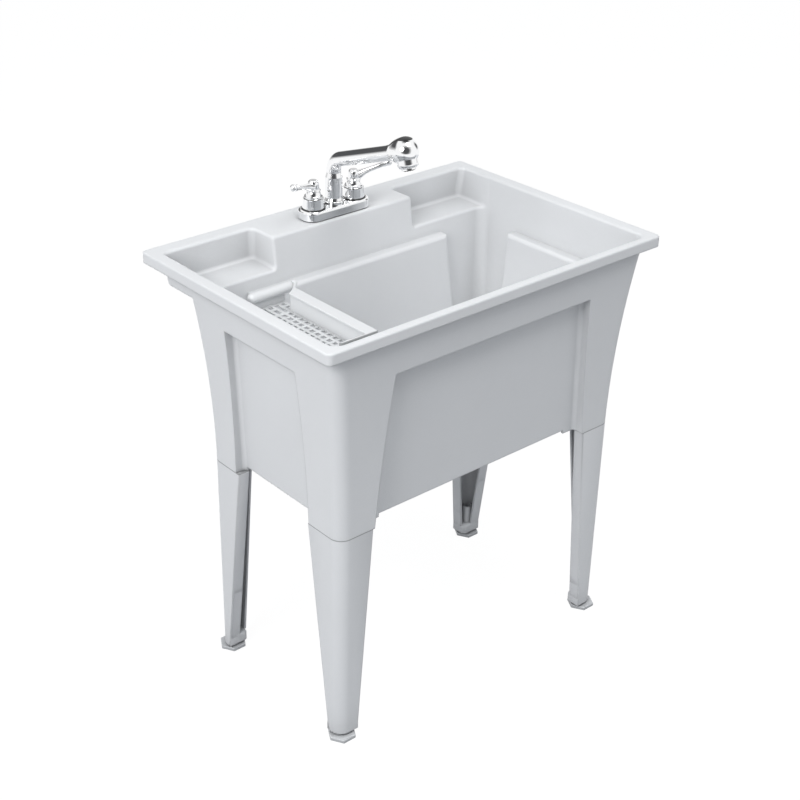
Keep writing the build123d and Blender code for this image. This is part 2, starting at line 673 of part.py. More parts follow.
def make_foot(side):
    """Levelling foot: hexagonal pad and threaded stem in one."""
    x, y = -FOOT_X, FOOT_FRONT
    corner_radius = FOOT_ACROSS_FLATS / math.sqrt(3)
    pad = chamfer(hexagon(corner_radius, x, y, 0, FOOT_HEX).faces().sort_by(Axis.Z)[-1].edges(), 1.2)
    stem = rod(FOOT_STEM_RADIUS, x, y, FOOT_HEX - 1, FOOT_STEM_TOP)
    stem = chamfer(stem.faces().sort_by(Axis.Z)[-1].edges(), 1)
    return to_corner(pad + stem, side)


def make_foot_locknuts():
    """Locknuts on the stems, tightened against the shoes from below."""
    nuts = []
    for side in CORNERS.values():
        nut = hexagon(LOCKNUT_RADIUS, -FOOT_X, FOOT_FRONT, LEG_BOTTOM - LOCKNUT_HEIGHT, LEG_BOTTOM)
        nut = nut - rod(FOOT_STEM_RADIUS + RUN_GAP, -FOOT_X, FOOT_FRONT, 0, LEG_BOTTOM + 1)
        nuts.append(to_corner(nut, side))
    return Compound(children=nuts)


def make_leg_screws():
    """Pan-head screws through the webs of the legs into the bosses of the tub."""
    seat = POST_BOTTOM - LEG_WEB
    screws = []
    for side in CORNERS.values():
        x, y = screw_places()
        head = rod(SCREW_HEAD_RADIUS, x, y, seat - SCREW_HEAD, seat)
        head = chamfer(head.faces().sort_by(Axis.Z)[0].edges(), SCREW_HEAD / 3)
        screws.append(to_corner(head + rod(SCREW_RADIUS, x, y, seat - 1, seat + SCREW_LENGTH), side))
    return Compound(children=screws)


# ---------------------------------------------------------------- drain tray
# The tray stands just clear of the basin's front and left walls at the height of the tray's underside.
TRAY_FRONT = POST_FRONT + WALL - flare(LEAN_FRONT_INSIDE, TRAY_FLOOR - TRAY_WALL) + TRAY_GAP
TRAY_LEFT = -POST_HALF + WALL - flare(LEAN_SIDE, TRAY_FLOOR - TRAY_WALL) + TRAY_GAP
TRAY_RIGHT = TRAY_LEFT + TRAY_WIDTH
TRAY_BACK = TRAY_FRONT + TRAY_LENGTH
TRAY_LIP_LEFT = TRAY_RIGHT - TRAY_LIP_INNER
TRAY_LIP_RIGHT = TRAY_RIGHT + TRAY_LIP_OUTER
TRAY_LIP_BACK = TRAY_FRONT + TRAY_LIP_LENGTH
TRAY_GRIP_RIGHT = TRAY_RIGHT + TRAY_GRIP_REACH
TRAY_ROLL_LEFT = TRAY_LEFT + TRAY_ROLL_INSET
TRAY_BAY_RIGHT = TRAY_RIGHT + TRAY_BAY_REACH


def make_tray():
    """Slotted floor with a front and a right wall, a flat lip, a rolled back edge and a hanging skirt."""
    under = TRAY_FLOOR - TRAY_WALL
    lip_low = TRAY_TOP - TRAY_LIP_THICK
    inner_right = TRAY_RIGHT - TRAY_WALL
    tray = block((TRAY_LEFT, TRAY_RIGHT), (TRAY_FRONT, TRAY_BACK), (under, TRAY_FLOOR))
    tray += block((inner_right, TRAY_RIGHT), (TRAY_FRONT, TRAY_LIP_BACK), (under, lip_low + 1))
    tray += block((TRAY_LEFT, TRAY_LIP_RIGHT), (TRAY_FRONT, TRAY_FRONT + TRAY_WALL), (under, TRAY_TOP))
    tray += block((inner_right, TRAY_BAY_RIGHT), (TRAY_LIP_BACK, TRAY_BACK), (under, TRAY_FLOOR))
    roll_z = TRAY_TOP - TRAY_ROLL_SUNK - TRAY_ROLL_RADIUS
    tray += block((TRAY_ROLL_LEFT, TRAY_BAY_RIGHT), (TRAY_BACK - TRAY_WALL, TRAY_BACK), (under, roll_z))
    tray += tray_lip(lip_low) + tray_roll(roll_z)
    tray += tray_skirt(under)
    return tray - tray_slots(under) - tray_corner(under)


def tray_corner(under):
    """What the round corner of the basin takes off the tray's front left corner."""
    x = TRAY_LEFT + TRAY_CORNER
    y = TRAY_FRONT + TRAY_CORNER
    square = block((TRAY_LEFT - 1, x), (TRAY_FRONT - 1, y), (under - 1, TRAY_TOP + 1))
    return square - rod(TRAY_CORNER, x, y, under - 2, TRAY_TOP + 2)


def tray_lip(low):
    """Flat lip along the right side; it narrows to the grip that reaches back to the roll."""
    roll_y = TRAY_BACK - TRAY_WALL / 2
    plan = Polyline(
        (TRAY_LIP_LEFT, TRAY_FRONT),
        (TRAY_LIP_RIGHT, TRAY_FRONT),
        (TRAY_LIP_RIGHT, TRAY_LIP_BACK + TRAY_LIP_SLANT),
        (TRAY_GRIP_RIGHT, roll_y - TRAY_ROLL_RADIUS),
        (TRAY_GRIP_RIGHT, roll_y),
        (TRAY_GRIP_RIGHT - TRAY_GRIP_WIDTH, roll_y),
        (TRAY_GRIP_RIGHT - TRAY_GRIP_WIDTH, roll_y - TRAY_ROLL_RADIUS),
        (TRAY_LIP_RIGHT - TRAY_GRIP_WIDTH, TRAY_LIP_BACK + TRAY_LIP_SLANT),
        (TRAY_LIP_LEFT, TRAY_LIP_BACK),
        close=True,
    )
    lip = extrude(Pos(0, 0, low) * make_face(plan), TRAY_LIP_THICK)
    lip = fillet(lip.faces().sort_by(Axis.Z)[-1].edges(), TRAY_LIP_THICK / 3)
    turn = block(
        (TRAY_LIP_RIGHT - TRAY_WALL, TRAY_LIP_RIGHT),
        (TRAY_FRONT, TRAY_LIP_BACK),
        (TRAY_TOP - TRAY_LIP_TURN, low + 1),
    )
    return lip + turn


def tray_roll(height):
    """Round roll along the top of the back wall, with round ends."""
    roll_y = TRAY_BACK - TRAY_WALL / 2
    left = TRAY_ROLL_LEFT + TRAY_ROLL_RADIUS
    right = TRAY_GRIP_RIGHT - TRAY_ROLL_RADIUS
    bar = Pos((left + right) / 2, roll_y, height) * Rot(0, 90, 0) * Cylinder(TRAY_ROLL_RADIUS, right - left)
    for x in (left, right):
        bar += Pos(x, roll_y, height) * Sphere(TRAY_ROLL_RADIUS)
    return bar


def tray_skirt(under):
    """Plate under the left edge, notched for the necks of the rails."""
    inner = TRAY_LEFT + SKIRT_INSET
    skirt = block((inner - TRAY_WALL, inner), (TRAY_FRONT + SKIRT_INSET, TRAY_BACK), (RAIL_BOTTOM, under + 1))
    for step in RAIL_STEPS:
        y = TRAY_FRONT + step
        half = RAIL_NECK / 2 + FIT_GAP
        notch = (RAIL_BOTTOM - 1, RAIL_TOP + FIT_GAP)
        skirt -= block((inner - TRAY_WALL - 1, inner + 1), (y - half, y + half), notch)
    return skirt


def tray_slots(under):
    """Drain slots: columns of short ones, and longer ones in the bay behind the right wall."""
    first_x = TRAY_RIGHT - TRAY_MARGIN - TRAY_SLOT_X / 2
    last_x = TRAY_LEFT + SKIRT_INSET + TRAY_SLOT_X / 2
    columns = int((first_x - last_x) / TRAY_PITCH_X) + 1
    first_y = TRAY_FRONT + TRAY_WALL + TRAY_MARGIN
    rows = int((TRAY_LIP_BACK - first_y) / TRAY_PITCH_Y)
    land = TRAY_PITCH_Y - TRAY_SLOT_Y
    bay_y = TRAY_LIP_BACK + land / 2
    bay_end = TRAY_BACK - TRAY_WALL - land
    shorts = [(first_y + row * TRAY_PITCH_Y, TRAY_SLOT_Y) for row in range(rows)]
    whole_bay = [(bay_y, bay_end - bay_y)]
    split_bay = [(bay_y, bay_end - TRAY_PITCH_Y - bay_y), (bay_end - TRAY_SLOT_Y, TRAY_SLOT_Y)]
    slots = []
    for column in range(-1, columns):
        x = first_x - column * TRAY_PITCH_X
        lengths = split_bay if column % 2 else whole_bay
        if column >= 0:
            lengths = lengths + shorts
        for y, length in lengths:
            across = (x - TRAY_SLOT_X / 2, x + TRAY_SLOT_X / 2)
            slots.append(block(across, (y, y + length), (under - 1, TRAY_FLOOR + 1)))
    return Part() + slots


# ---------------------------------------------------------------- drain
def make_drain_body():
    """Flanged cup with a threaded neck below."""
    low = DRAIN_SEAT + DRAIN_SEAL
    cup = DRAIN_CUP_RADIUS - DRAIN_CUP_WALL
    neck = DRAIN_NECK_RADIUS - DRAIN_CUP_WALL
    outline = [
        (DRAIN_CUP_RADIUS, low),
        (DRAIN_FLANGE_RADIUS, low),
        (DRAIN_FLANGE_RADIUS - 1, DRAIN_TOP),
        (BASKET_RIM_RADIUS + FIT_GAP, DRAIN_TOP),
        (BASKET_RIM_RADIUS + FIT_GAP, DRAIN_TOP - DRAIN_FLANGE / 2),
        (cup, DRAIN_TOP - DRAIN_FLANGE / 2),
        (cup, DRAIN_CUP_BOTTOM + DRAIN_CUP_WALL),
        (neck, DRAIN_CUP_BOTTOM + DRAIN_CUP_WALL),
        (neck, DRAIN_NECK_BOTTOM),
        (DRAIN_NECK_RADIUS, DRAIN_NECK_BOTTOM),
        (DRAIN_NECK_RADIUS, DRAIN_CUP_BOTTOM),
        (DRAIN_CUP_RADIUS, DRAIN_CUP_BOTTOM),
    ]
    return turned(outline, DRAIN_X, DRAIN_Y)


def make_drain_seal():
    high = DRAIN_SEAT + DRAIN_SEAL
    return tube(DRAIN_FLANGE_RADIUS - 1, DRAIN_CUP_RADIUS, DRAIN_X, DRAIN_Y, DRAIN_SEAT, high)


def make_drain_washer():
    low = FLOOR_UNDERSIDE - DRAIN_WASHER
    return tube(DRAIN_NUT_RADIUS - 2, DRAIN_CUP_RADIUS, DRAIN_X, DRAIN_Y, low, FLOOR_UNDERSIDE)


def make_drain_locknut():
    """Ring nut with six lugs for the spanner."""
    high = FLOOR_UNDERSIDE - DRAIN_WASHER
    low = high - DRAIN_NUT
    nut = rod(DRAIN_NUT_RADIUS - 4, DRAIN_X, DRAIN_Y, low, high)
    for turn in range(0, 360, 60):
        lug = block((0, DRAIN_NUT_RADIUS), (-6, 6), (low, high))
        nut += Pos(DRAIN_X, DRAIN_Y, 0) * Rot(0, 0, turn) * lug
    return nut - rod(DRAIN_CUP_RADIUS + RUN_GAP, DRAIN_X, DRAIN_Y, low - 1, high + 1)


def make_strainer_basket():
    """Lift-out cup with a slotted wall and floor and a knob in the middle."""
    rim_low = DRAIN_TOP - DRAIN_FLANGE / 2 + FIT_GAP
    bottom = rim_low - BASKET_DEPTH
    outline = [
        (0, bottom),
        (BASKET_RADIUS, bottom),
        (BASKET_RADIUS, rim_low),
        (BASKET_RIM_RADIUS, rim_low),
        (BASKET_RIM_RADIUS, rim_low + BASKET_WALL),
        (BASKET_RADIUS - BASKET_WALL, rim_low + BASKET_WALL),
        (BASKET_RADIUS - BASKET_WALL, bottom + BASKET_WALL),
        (KNOB_STEM_RADIUS, bottom + BASKET_WALL),
        (KNOB_STEM_RADIUS, rim_low),
        (KNOB_RADIUS, rim_low + BASKET_WALL),
        (KNOB_RADIUS, rim_low + 2 * BASKET_WALL),
        (0, rim_low + 3 * BASKET_WALL),
    ]
    basket = turned(outline)
    for turn in range(0, 360, 30):
        through_floor = (bottom - 1, bottom + BASKET_WALL + 1)
        low_slot = block((KNOB_STEM_RADIUS + 4, BASKET_RADIUS - 5), (-1.2, 1.2), through_floor)
        wall_slot = block((BASKET_RADIUS - 3, BASKET_RADIUS + 1), (-1.5, 1.5), (bottom + 5, rim_low - 6))
        basket -= Rot(0, 0, turn) * (low_slot + wall_slot)
    return Pos(DRAIN_X, DRAIN_Y, 0) * basket


def make_tailpiece_washer():
    low = DRAIN_NECK_BOTTOM - TAILPIECE_FLANGE
    return tube(DRAIN_NECK_RADIUS, TAILPIECE_RADIUS, DRAIN_X, DRAIN_Y, low, DRAIN_NECK_BOTTOM)


def make_tailpiece():
    """Tube with a flange and a shoulder at its top, held against the neck of the drain."""
    high = DRAIN_NECK_BOTTOM - TAILPIECE_FLANGE
    flange_low = high - TAILPIECE_FLANGE
    low = flange_low - TAILPIECE_LENGTH
    shoulder = TAILPIECE_RADIUS + TAILPIECE_SHOULDER
    pipe = rod(TAILPIECE_RADIUS, DRAIN_X, DRAIN_Y, low, high)
    pipe += rod(DRAIN_NECK_RADIUS, DRAIN_X, DRAIN_Y, flange_low, high)
    pipe += rod(shoulder, DRAIN_X, DRAIN_Y, flange_low - TAILPIECE_FLANGE, flange_low)
    return pipe - rod(TAILPIECE_RADIUS - TAILPIECE_WALL, DRAIN_X, DRAIN_Y, low - 1, high + 1)


def make_slip_nut():
    """Nut on the neck of the drain that draws the tailpiece up."""
    flange_low = DRAIN_NECK_BOTTOM - 2 * TAILPIECE_FLANGE
    low = flange_low - TAILPIECE_FLANGE
    nut = hexagon(SLIP_NUT_RADIUS, DRAIN_X, DRAIN_Y, low, low + SLIP_NUT)
    nut -= rod(DRAIN_NECK_RADIUS + RUN_GAP, DRAIN_X, DRAIN_Y, flange_low, low + SLIP_NUT + 1)
    shoulder = TAILPIECE_RADIUS + TAILPIECE_SHOULDER
    return nut - rod(shoulder + RUN_GAP, DRAIN_X, DRAIN_Y, low - 1, flange_low + 1)


# ---------------------------------------------------------------- faucet, fixed pieces
def base_outline(inset):
    return RectangleRounded(BASE_LENGTH - 2 * inset, BASE_DEPTH - 2 * inset, BASE_CORNER - inset)


def make_deck_gasket():
    pad = extrude(Pos(0, FAUCET_Y, RIM_HEIGHT) * base_outline(BASE_WALL / 2), DECK_PAD)
    for x in (-VALVE_X, VALVE_X):
        pad -= rod(SHANK_HOLE_RADIUS, x, FAUCET_Y, RIM_HEIGHT - 1, PAD_TOP + 1)
    return pad


def make_base():
    """Deck housing, hollow below, with openings for the valves and the spout post."""
    base = extrude(Pos(0, FAUCET_Y, PAD_TOP) * base_outline(0), BASE_HEIGHT)
    base = fillet(base.faces().sort_by(Axis.Z)[-1].edges(), BASE_ROUND)
    base -= extrude(Pos(0, FAUCET_Y, PAD_TOP - 1) * base_outline(BASE_WALL), BASE_HEIGHT - BASE_WALL + 1)
    for x in (-VALVE_X, VALVE_X):
        base -= rod(SEAT_RADIUS + FIT_GAP, x, FAUCET_Y, PAD_TOP, BASE_TOP + 1)
    return base - rod(POST_RADIUS + FIT_GAP, 0, FAUCET_Y, PAD_TOP, BASE_TOP + 1)


def make_waterway():
    """Brass body: two threaded shanks with valve seats, a cross tube and the hollow spout post."""
    cross_z = (PAD_TOP + BASE_TOP - BASE_WALL) / 2
    neck_low = PLATE_UNDERSIDE - MOUNT_WASHER - MOUNT_NUT - 1
    body = Pos(0, FAUCET_Y, cross_z) * Rot(0, 90, 0) * Cylinder(CROSS_RADIUS, FAUCET_CENTRES)
    for x in (-VALVE_X, VALVE_X):
        body += rod(SHANK_RADIUS, x, FAUCET_Y, SHANK_BOTTOM, neck_low)
        body += rod(SHANK_NECK_RADIUS, x, FAUCET_Y, neck_low, PAD_TOP + 1)
        body += rod(SEAT_RADIUS, x, FAUCET_Y, PAD_TOP, SEAT_TOP)
    body += rod(POST_RADIUS, 0, FAUCET_Y, PAD_TOP, POST_TOP)
    for x in (-VALVE_X, VALVE_X):
        body -= rod(SHANK_BORE, x, FAUCET_Y, SHANK_BOTTOM - 1, SEAT_TOP + 1)
        body -= rod(CARTRIDGE_RADIUS + RUN_GAP, x, FAUCET_Y, CARTRIDGE_LOW, SEAT_TOP + 1)
    body -= rod(POST_BORE, 0, FAUCET_Y, PAD_TOP - 1, POST_TOP + 1)
    for height in RING_HEIGHTS:
        body -= ring_groove(height, 2 * RING_WIRE)
    return body - ring_groove(GRUB_HEIGHT, 2 * GRUB_RADIUS + 2 * FIT_GAP)


def ring_groove(height, width):
    """Groove round the spout post."""
    outer = rod(POST_RADIUS + 1, 0, FAUCET_Y, height - width / 2, height + width / 2)
    return outer - rod(POST_RADIUS - 2 * RING_WIRE, 0, FAUCET_Y, height - width, height + width)


def make_spout_rings():
    """Two sealing rings in the grooves of the spout post, six-sided in section."""
    section = Pos(POST_RADIUS - RING_WIRE, 0, 0) * RegularPolygon(RING_WIRE, 6, rotation=30)
    ring = revolve(Plane.XZ * section, Axis.Z)
    return Compound(children=[Pos(0, FAUCET_Y, z) * ring for z in RING_HEIGHTS])


def make_mount_washers():
    low = PLATE_UNDERSIDE - MOUNT_WASHER
    rings = []
    for x in (-VALVE_X, VALVE_X):
        rings.append(tube(MOUNT_WASHER_RADIUS, SHANK_NECK_RADIUS, x, FAUCET_Y, low, PLATE_UNDERSIDE))
    return Compound(children=rings)


def make_mount_nuts():
    high = PLATE_UNDERSIDE - MOUNT_WASHER
    nuts = []
    for x in (-VALVE_X, VALVE_X):
        nut = hexagon(MOUNT_NUT_RADIUS, x, FAUCET_Y, high - MOUNT_NUT, high)
        nuts.append(nut - rod(SHANK_NECK_RADIUS + RUN_GAP, x, FAUCET_Y, high - MOUNT_NUT - 1, high + 1))
    return Compound(children=nuts)


def make_cartridge(x):
    """Quarter-turn cartridge with its hexagonal clamp."""
    body = rod(CARTRIDGE_RADIUS, x, FAUCET_Y, CARTRIDGE_LOW, CARTRIDGE_TOP)
    body += hexagon(CLAMP_RADIUS, x, FAUCET_Y, SEAT_TOP, SEAT_TOP + CLAMP_HEIGHT)
    body -= rod(STEM_RADIUS + RUN_GAP, x, FAUCET_Y, STEM_LOW, CARTRIDGE_TOP + 1)
    return body - rod(SHANK_BORE - 2, x, FAUCET_Y, CARTRIDGE_LOW - 1, STEM_LOW - 3)


def make_bonnet(x):
    """Bell-shaped cover over a cartridge."""
    top = BASE_TOP + BONNET_HEIGHT
    outside = bell(BONNET_RADIUS, HUB_LOW_RADIUS + 1, BASE_TOP, top, 0)
    inside = bell(BONNET_RADIUS, HUB_LOW_RADIUS + 1, BASE_TOP, top, BONNET_WALL)
    cover = outside - inside - rod(CLAMP_RADIUS, 0, 0, BASE_TOP, top + 1)
    return Pos(x, FAUCET_Y, 0) * cover


def bell(low_radius, top_radius, low, top, inset):
    """Turned bell: a short upright foot, then a hollow curve up to the neck."""
    foot = low + BONNET_FOOT
    end = top - inset
    face = make_face(
        [
            Line((0, low), (low_radius - inset, low)),
            Line((low_radius - inset, low), (low_radius - inset, foot)),
            ThreePointArc(
                (low_radius - inset, foot),
                ((low_radius * 0.4 + top_radius * 0.6) - inset, (foot + end) / 2),
                (top_radius - inset, end),
            ),
            Line((top_radius - inset, end), (0, end)),
            Line((0, end), (0, low)),
        ]
    )
    return revolve(Plane.XZ * face, Axis.Z)


def make_spout_collar():
    ring = tube(COLLAR_RADIUS, POST_RADIUS + FIT_GAP, 0, FAUCET_Y, BASE_TOP, BASE_TOP + COLLAR_HEIGHT)
    outer = ring.edges().filter_by(GeomType.CIRCLE).sort_by(Axis.Z)[-2:].sort_by(SortBy.RADIUS)[-1]
    return fillet(outer, COLLAR_HEIGHT / 3)


# ---------------------------------------------------------------- faucet, handles
def make_stem(x):
    stem = rod(STEM_RADIUS, x, FAUCET_Y, STEM_LOW, STEM_TOP)
    return stem - rod(SCREW_SHANK, x, FAUCET_Y, STEM_TOP - HANDLE_SCREW, STEM_TOP + 1)


def make_handle(x, side):
    """Hub and teapot lever in one casting; side -1 points left, 1 right."""
    low = HUB_LOW
    waist = (HUB_TOP_RADIUS + 1.2, low + HUB_HEIGHT / 2)
    shoulder = (HUB_TOP_RADIUS, HUB_TOP - HUB_ROUND)
    slack = HUB_ROUND * (1 - math.sqrt(0.5))
    crown = (HUB_TOP_RADIUS - slack, HUB_TOP - slack)
    hub = revolve(
        Plane.XZ
        * make_face(
            [
                Line((0, low), (HUB_LOW_RADIUS, low)),
                Line((HUB_LOW_RADIUS, low), (HUB_LOW_RADIUS, low + 3)),
                ThreePointArc((HUB_LOW_RADIUS, low + 3), waist, shoulder),
                ThreePointArc(shoulder, crown, (HUB_TOP_RADIUS - HUB_ROUND, HUB_TOP)),
                Line((HUB_TOP_RADIUS - HUB_ROUND, HUB_TOP), (0, HUB_TOP)),
                Line((0, HUB_TOP), (0, low)),
            ]
        ),
        Axis.Z,
    )
    rise = math.degrees(math.asin(LEVER_RISE / LEVER_LENGTH))
    lever = Pos(0, 0, LEVER_ROOT_Z) * Rot(0, 0, -LEVER_TURN) * Rot(0, -rise, 0) * make_lever()
    if side < 0:
        lever = mirror(lever, Plane.YZ)
    handle = hub + lever
    handle -= rod(CLAMP_RADIUS + 1, 0, 0, low - 1, CARTRIDGE_TOP + 2)
    handle -= rod(STEM_RADIUS + RUN_GAP, 0, 0, low, STEM_TOP)
    handle -= rod(SCREW_SHANK + RUN_GAP, 0, 0, low, HUB_TOP)
    handle -= rod(CAP_RADIUS + RUN_GAP, 0, 0, CAP_FLOOR, HUB_TOP + 1)
    return Pos(x, FAUCET_Y, 0) * handle


def make_lever():
    """Tapered lever along +X, with a ring and a ball at its end."""
    ring = LEVER_LENGTH - 2 * LEVER_BALL - 3
    root = HUB_TOP_RADIUS - 5
    waist = (root + (ring - root) * 0.45, LEVER_WAIST_RADIUS)
    face = make_face(
        [
            Line((root, 0), (root, LEVER_ROOT_RADIUS)),
            ThreePointArc((root, LEVER_ROOT_RADIUS), waist, (ring, LEVER_END_RADIUS)),
            Line((ring, LEVER_END_RADIUS), (ring, LEVER_RING_RADIUS)),
            Line((ring, LEVER_RING_RADIUS), (ring + 2, LEVER_RING_RADIUS)),
            Line((ring + 2, LEVER_RING_RADIUS), (ring + 2, LEVER_WAIST_RADIUS)),
            Line((ring + 2, LEVER_WAIST_RADIUS), (LEVER_LENGTH - LEVER_BALL, LEVER_WAIST_RADIUS)),
            Line((LEVER_LENGTH - LEVER_BALL, LEVER_WAIST_RADIUS), (LEVER_LENGTH - LEVER_BALL, 0)),
            Line((LEVER_LENGTH - LEVER_BALL, 0), (root, 0)),
        ]
    )
    return revolve(face, Axis.X) + Pos(LEVER_LENGTH - LEVER_BALL, 0, 0) * Sphere(LEVER_BALL)


def make_handle_screw(x):
    head = rod(SCREW_SHANK * 2, x, FAUCET_Y, CAP_FLOOR, CAP_FLOOR + SCREW_HEAD)
    return head + rod(SCREW_SHANK, x, FAUCET_Y, STEM_TOP - HANDLE_SCREW + 1, CAP_FLOOR + 1)


def make_handle_cap(x):
    cap = rod(CAP_RADIUS, x, FAUCET_Y, CAP_FLOOR + SCREW_HEAD, HUB_TOP + CAP_PROUD)
    return fillet(cap.faces().sort_by(Axis.Z)[-1].edges(), CAP_PROUD * 0.9)


# ---------------------------------------------------------------- faucet, spout and spray head
def arm_frame(distance):
    """Place whose Z axis runs along the arm, at a distance past the arm's end; its Y axis points up."""
    return Plane(origin=ARM_END + ARM_WAY * distance, x_dir=(1, 0, 0), z_dir=ARM_WAY)


def spout_core(radius):
    """Round bar that follows the bend and the arm, from the top of the column to the arm's end."""
    start = BEND_CORNER - Vector(0, 0, BEND_TANGENT)
    finish = BEND_CORNER + ARM_WAY * BEND_TANGENT
    section = Pos(*start) * Circle(radius)
    hub = start - Vector(0, BEND_RADIUS, 0)
    bend = revolve(section, Axis(tuple(hub), (1, 0, 0)), 90 - ARM_SLOPE)
    straight = Cylinder(radius, (ARM_END - finish).length, align=(Align.CENTER, Align.CENTER, Align.MIN))
    return bend + Plane(origin=finish, x_dir=(1, 0, 0), z_dir=ARM_WAY) * straight


def make_spout():
    """Column that turns on the spout post, and the arm that rises to the front."""
    low = BASE_TOP + COLLAR_HEIGHT + FIT_GAP
    shoulder = ARM_AXIS_Z - BEND_TANGENT
    column = [
        (0, low),
        (COLUMN_RADIUS + 2, low),
        (COLUMN_RADIUS, low + 5),
        (COLUMN_RADIUS, POST_TOP + 1),
        (ARM_RADIUS, shoulder),
        (0, shoulder),
    ]
    spout = turned(column, 0, FAUCET_Y) + spout_core(ARM_RADIUS)
    spout -= spout_core(ARM_BORE) + rod(ARM_BORE, 0, FAUCET_Y, POST_TOP, shoulder)
    spout -= rod(POST_RADIUS + RUN_GAP, 0, FAUCET_Y, low - 1, POST_TOP + FIT_GAP)
    return spout - grub_rod(GRUB_RADIUS + RUN_GAP, COLUMN_RADIUS + 1)


def grub_rod(radius, reach):
    """Level bar behind the column, out to a reach from its axis."""
    start = POST_RADIUS - 2 * RING_WIRE + FIT_GAP
    middle = FAUCET_Y + (start + reach) / 2
    return Pos(0, middle, GRUB_HEIGHT) * Rot(90, 0, 0) * Cylinder(radius, reach - start)


def make_spout_grub():
    """Grub screw whose tip runs in the groove of the post and holds the spout down."""
    return grub_rod(GRUB_RADIUS, COLUMN_RADIUS - 0.5)


def make_dock_sleeve():
    """Plastic sleeve in the end of the arm that guides the hose."""
    frame = arm_frame(-SLEEVE_LENGTH)
    ring = Cylinder(ARM_BORE, SLEEVE_LENGTH, align=(Align.CENTER, Align.CENTER, Align.MIN))
    ring -= Cylinder(HOSE_RADIUS + FIT_GAP, 3 * SLEEVE_LENGTH)
    return frame * ring


def head_profile(inset):
    """Half outline of the spray head, radius against distance from the arm's end."""
    back = FIT_GAP + inset
    belly = HEAD_RADIUS - inset
    collar = HEAD_COLLAR_RADIUS - inset
    swell = ((HEAD_COLLAR_RADIUS + HEAD_RADIUS) / 2 + 1 - inset, (HEAD_COLLAR + HEAD_BELLY) / 2 - 3)
    slant = belly * math.sqrt(0.5)
    return make_face(
        [
            Line((0, back), (collar, back)),
            Line((collar, back), (collar, HEAD_COLLAR)),
            ThreePointArc((collar, HEAD_COLLAR), swell, (belly, HEAD_BELLY)),
            ThreePointArc((belly, HEAD_BELLY), (slant, HEAD_BELLY + slant), (0, HEAD_BELLY + belly)),
            Line((0, HEAD_BELLY + belly), (0, back)),
        ]
    )


def head_round(inset):
    return revolve(Plane.XZ * head_profile(inset), Axis.Z)


def neck_round(inset):
    """Neck of the head along +Z: straight, then drawn in on an arc to the mouth that holds the nozzle."""
    wide = NECK_RADIUS - inset
    mouth = NECK_END_RADIUS - inset
    low = NECK_REACH - NOZZLE_THICK / 2
    bulge = (mouth + (wide - mouth) * 0.75, NECK_STRAIGHT + (low - NECK_STRAIGHT) * 0.65)
    face = make_face(
        [
            Line((0, 0), (wide, 0)),
            Line((wide, 0), (wide, NECK_STRAIGHT)),
            ThreePointArc((wide, NECK_STRAIGHT), bulge, (mouth, low)),
            Line((mouth, low), (mouth, NECK_REACH)),
            Line((mouth, NECK_REACH), (0, NECK_REACH)),
            Line((0, NECK_REACH), (0, 0)),
        ]
    )
    return revolve(Plane.XZ * face, Axis.Z)


def make_spray_head():
    """Hollow head with a round neck for the nozzle below and a slot for the button on top."""
    neck_place = Pos(0, 0, HEAD_BELLY) * Rot(90, 0, 0)
    head = head_round(0) + neck_place * neck_round(0)
    head -= head_round(HEAD_WALL)
    head -= neck_place * neck_round(HEAD_WALL)
    head -= button_bar(FIT_GAP)
    head -= Cylinder(HOSE_RADIUS + RUN_GAP, 2 * HEAD_COLLAR)
    return arm_frame(0) * head


def neck_rod(radius, reach):
    return Cylinder(radius, reach, align=(Align.CENTER, Align.CENTER, Align.MIN))


def button_bar(grow):
    """Rounded bar that stands up through the top of the head."""
    outline = SlotOverall(BUTTON_LENGTH + 2 * grow, BUTTON_WIDTH + 2 * grow)
    bar = extrude(outline, HEAD_RADIUS)
    return Pos(0, BUTTON_LOW, BUTTON_PLACE) * Rot(-90, 0, 0) * Rot(0, 0, 90) * bar


def make_spray_nozzle():
    """Nozzle plate with rings of small outlets, held in the mouth of the neck."""
    radius = NECK_END_RADIUS - HEAD_WALL - RUN_GAP
    face = NECK_REACH + NOZZLE_PROUD
    plate = Pos(0, 0, face - NOZZLE_THICK) * neck_rod(radius, NOZZLE_THICK)
    pips = []
    for count, ring in ((6, radius * 0.4), (12, radius * 0.75)):
        for index in range(count):
            turn = math.radians(360 / count * index)
            place = Pos(ring * math.cos(turn), ring * math.sin(turn), face - NOZZLE_PROUD)
            pips.append(place * extrude(RegularPolygon(NOZZLE_PIP, 6), 2 * NOZZLE_PROUD))
    return arm_frame(HEAD_BELLY) * Rot(90, 0, 0) * (plate + pips)


def make_spray_button():
    """Thumb pad that follows the top of the head and stands a little proud of it."""
    pad = head_round(-BUTTON_PROUD) & button_bar(0)
    return arm_frame(0) * (pad - head_round(HEAD_WALL))


def make_spray_hose():
    """Length of hose that lies in the straight part of the arm and is drawn out with the head."""
    hose = Pos(0, 0, -HOSE_LENGTH) * neck_rod(HOSE_RADIUS, HOSE_LENGTH + HEAD_COLLAR)
    return arm_frame(0) * hose


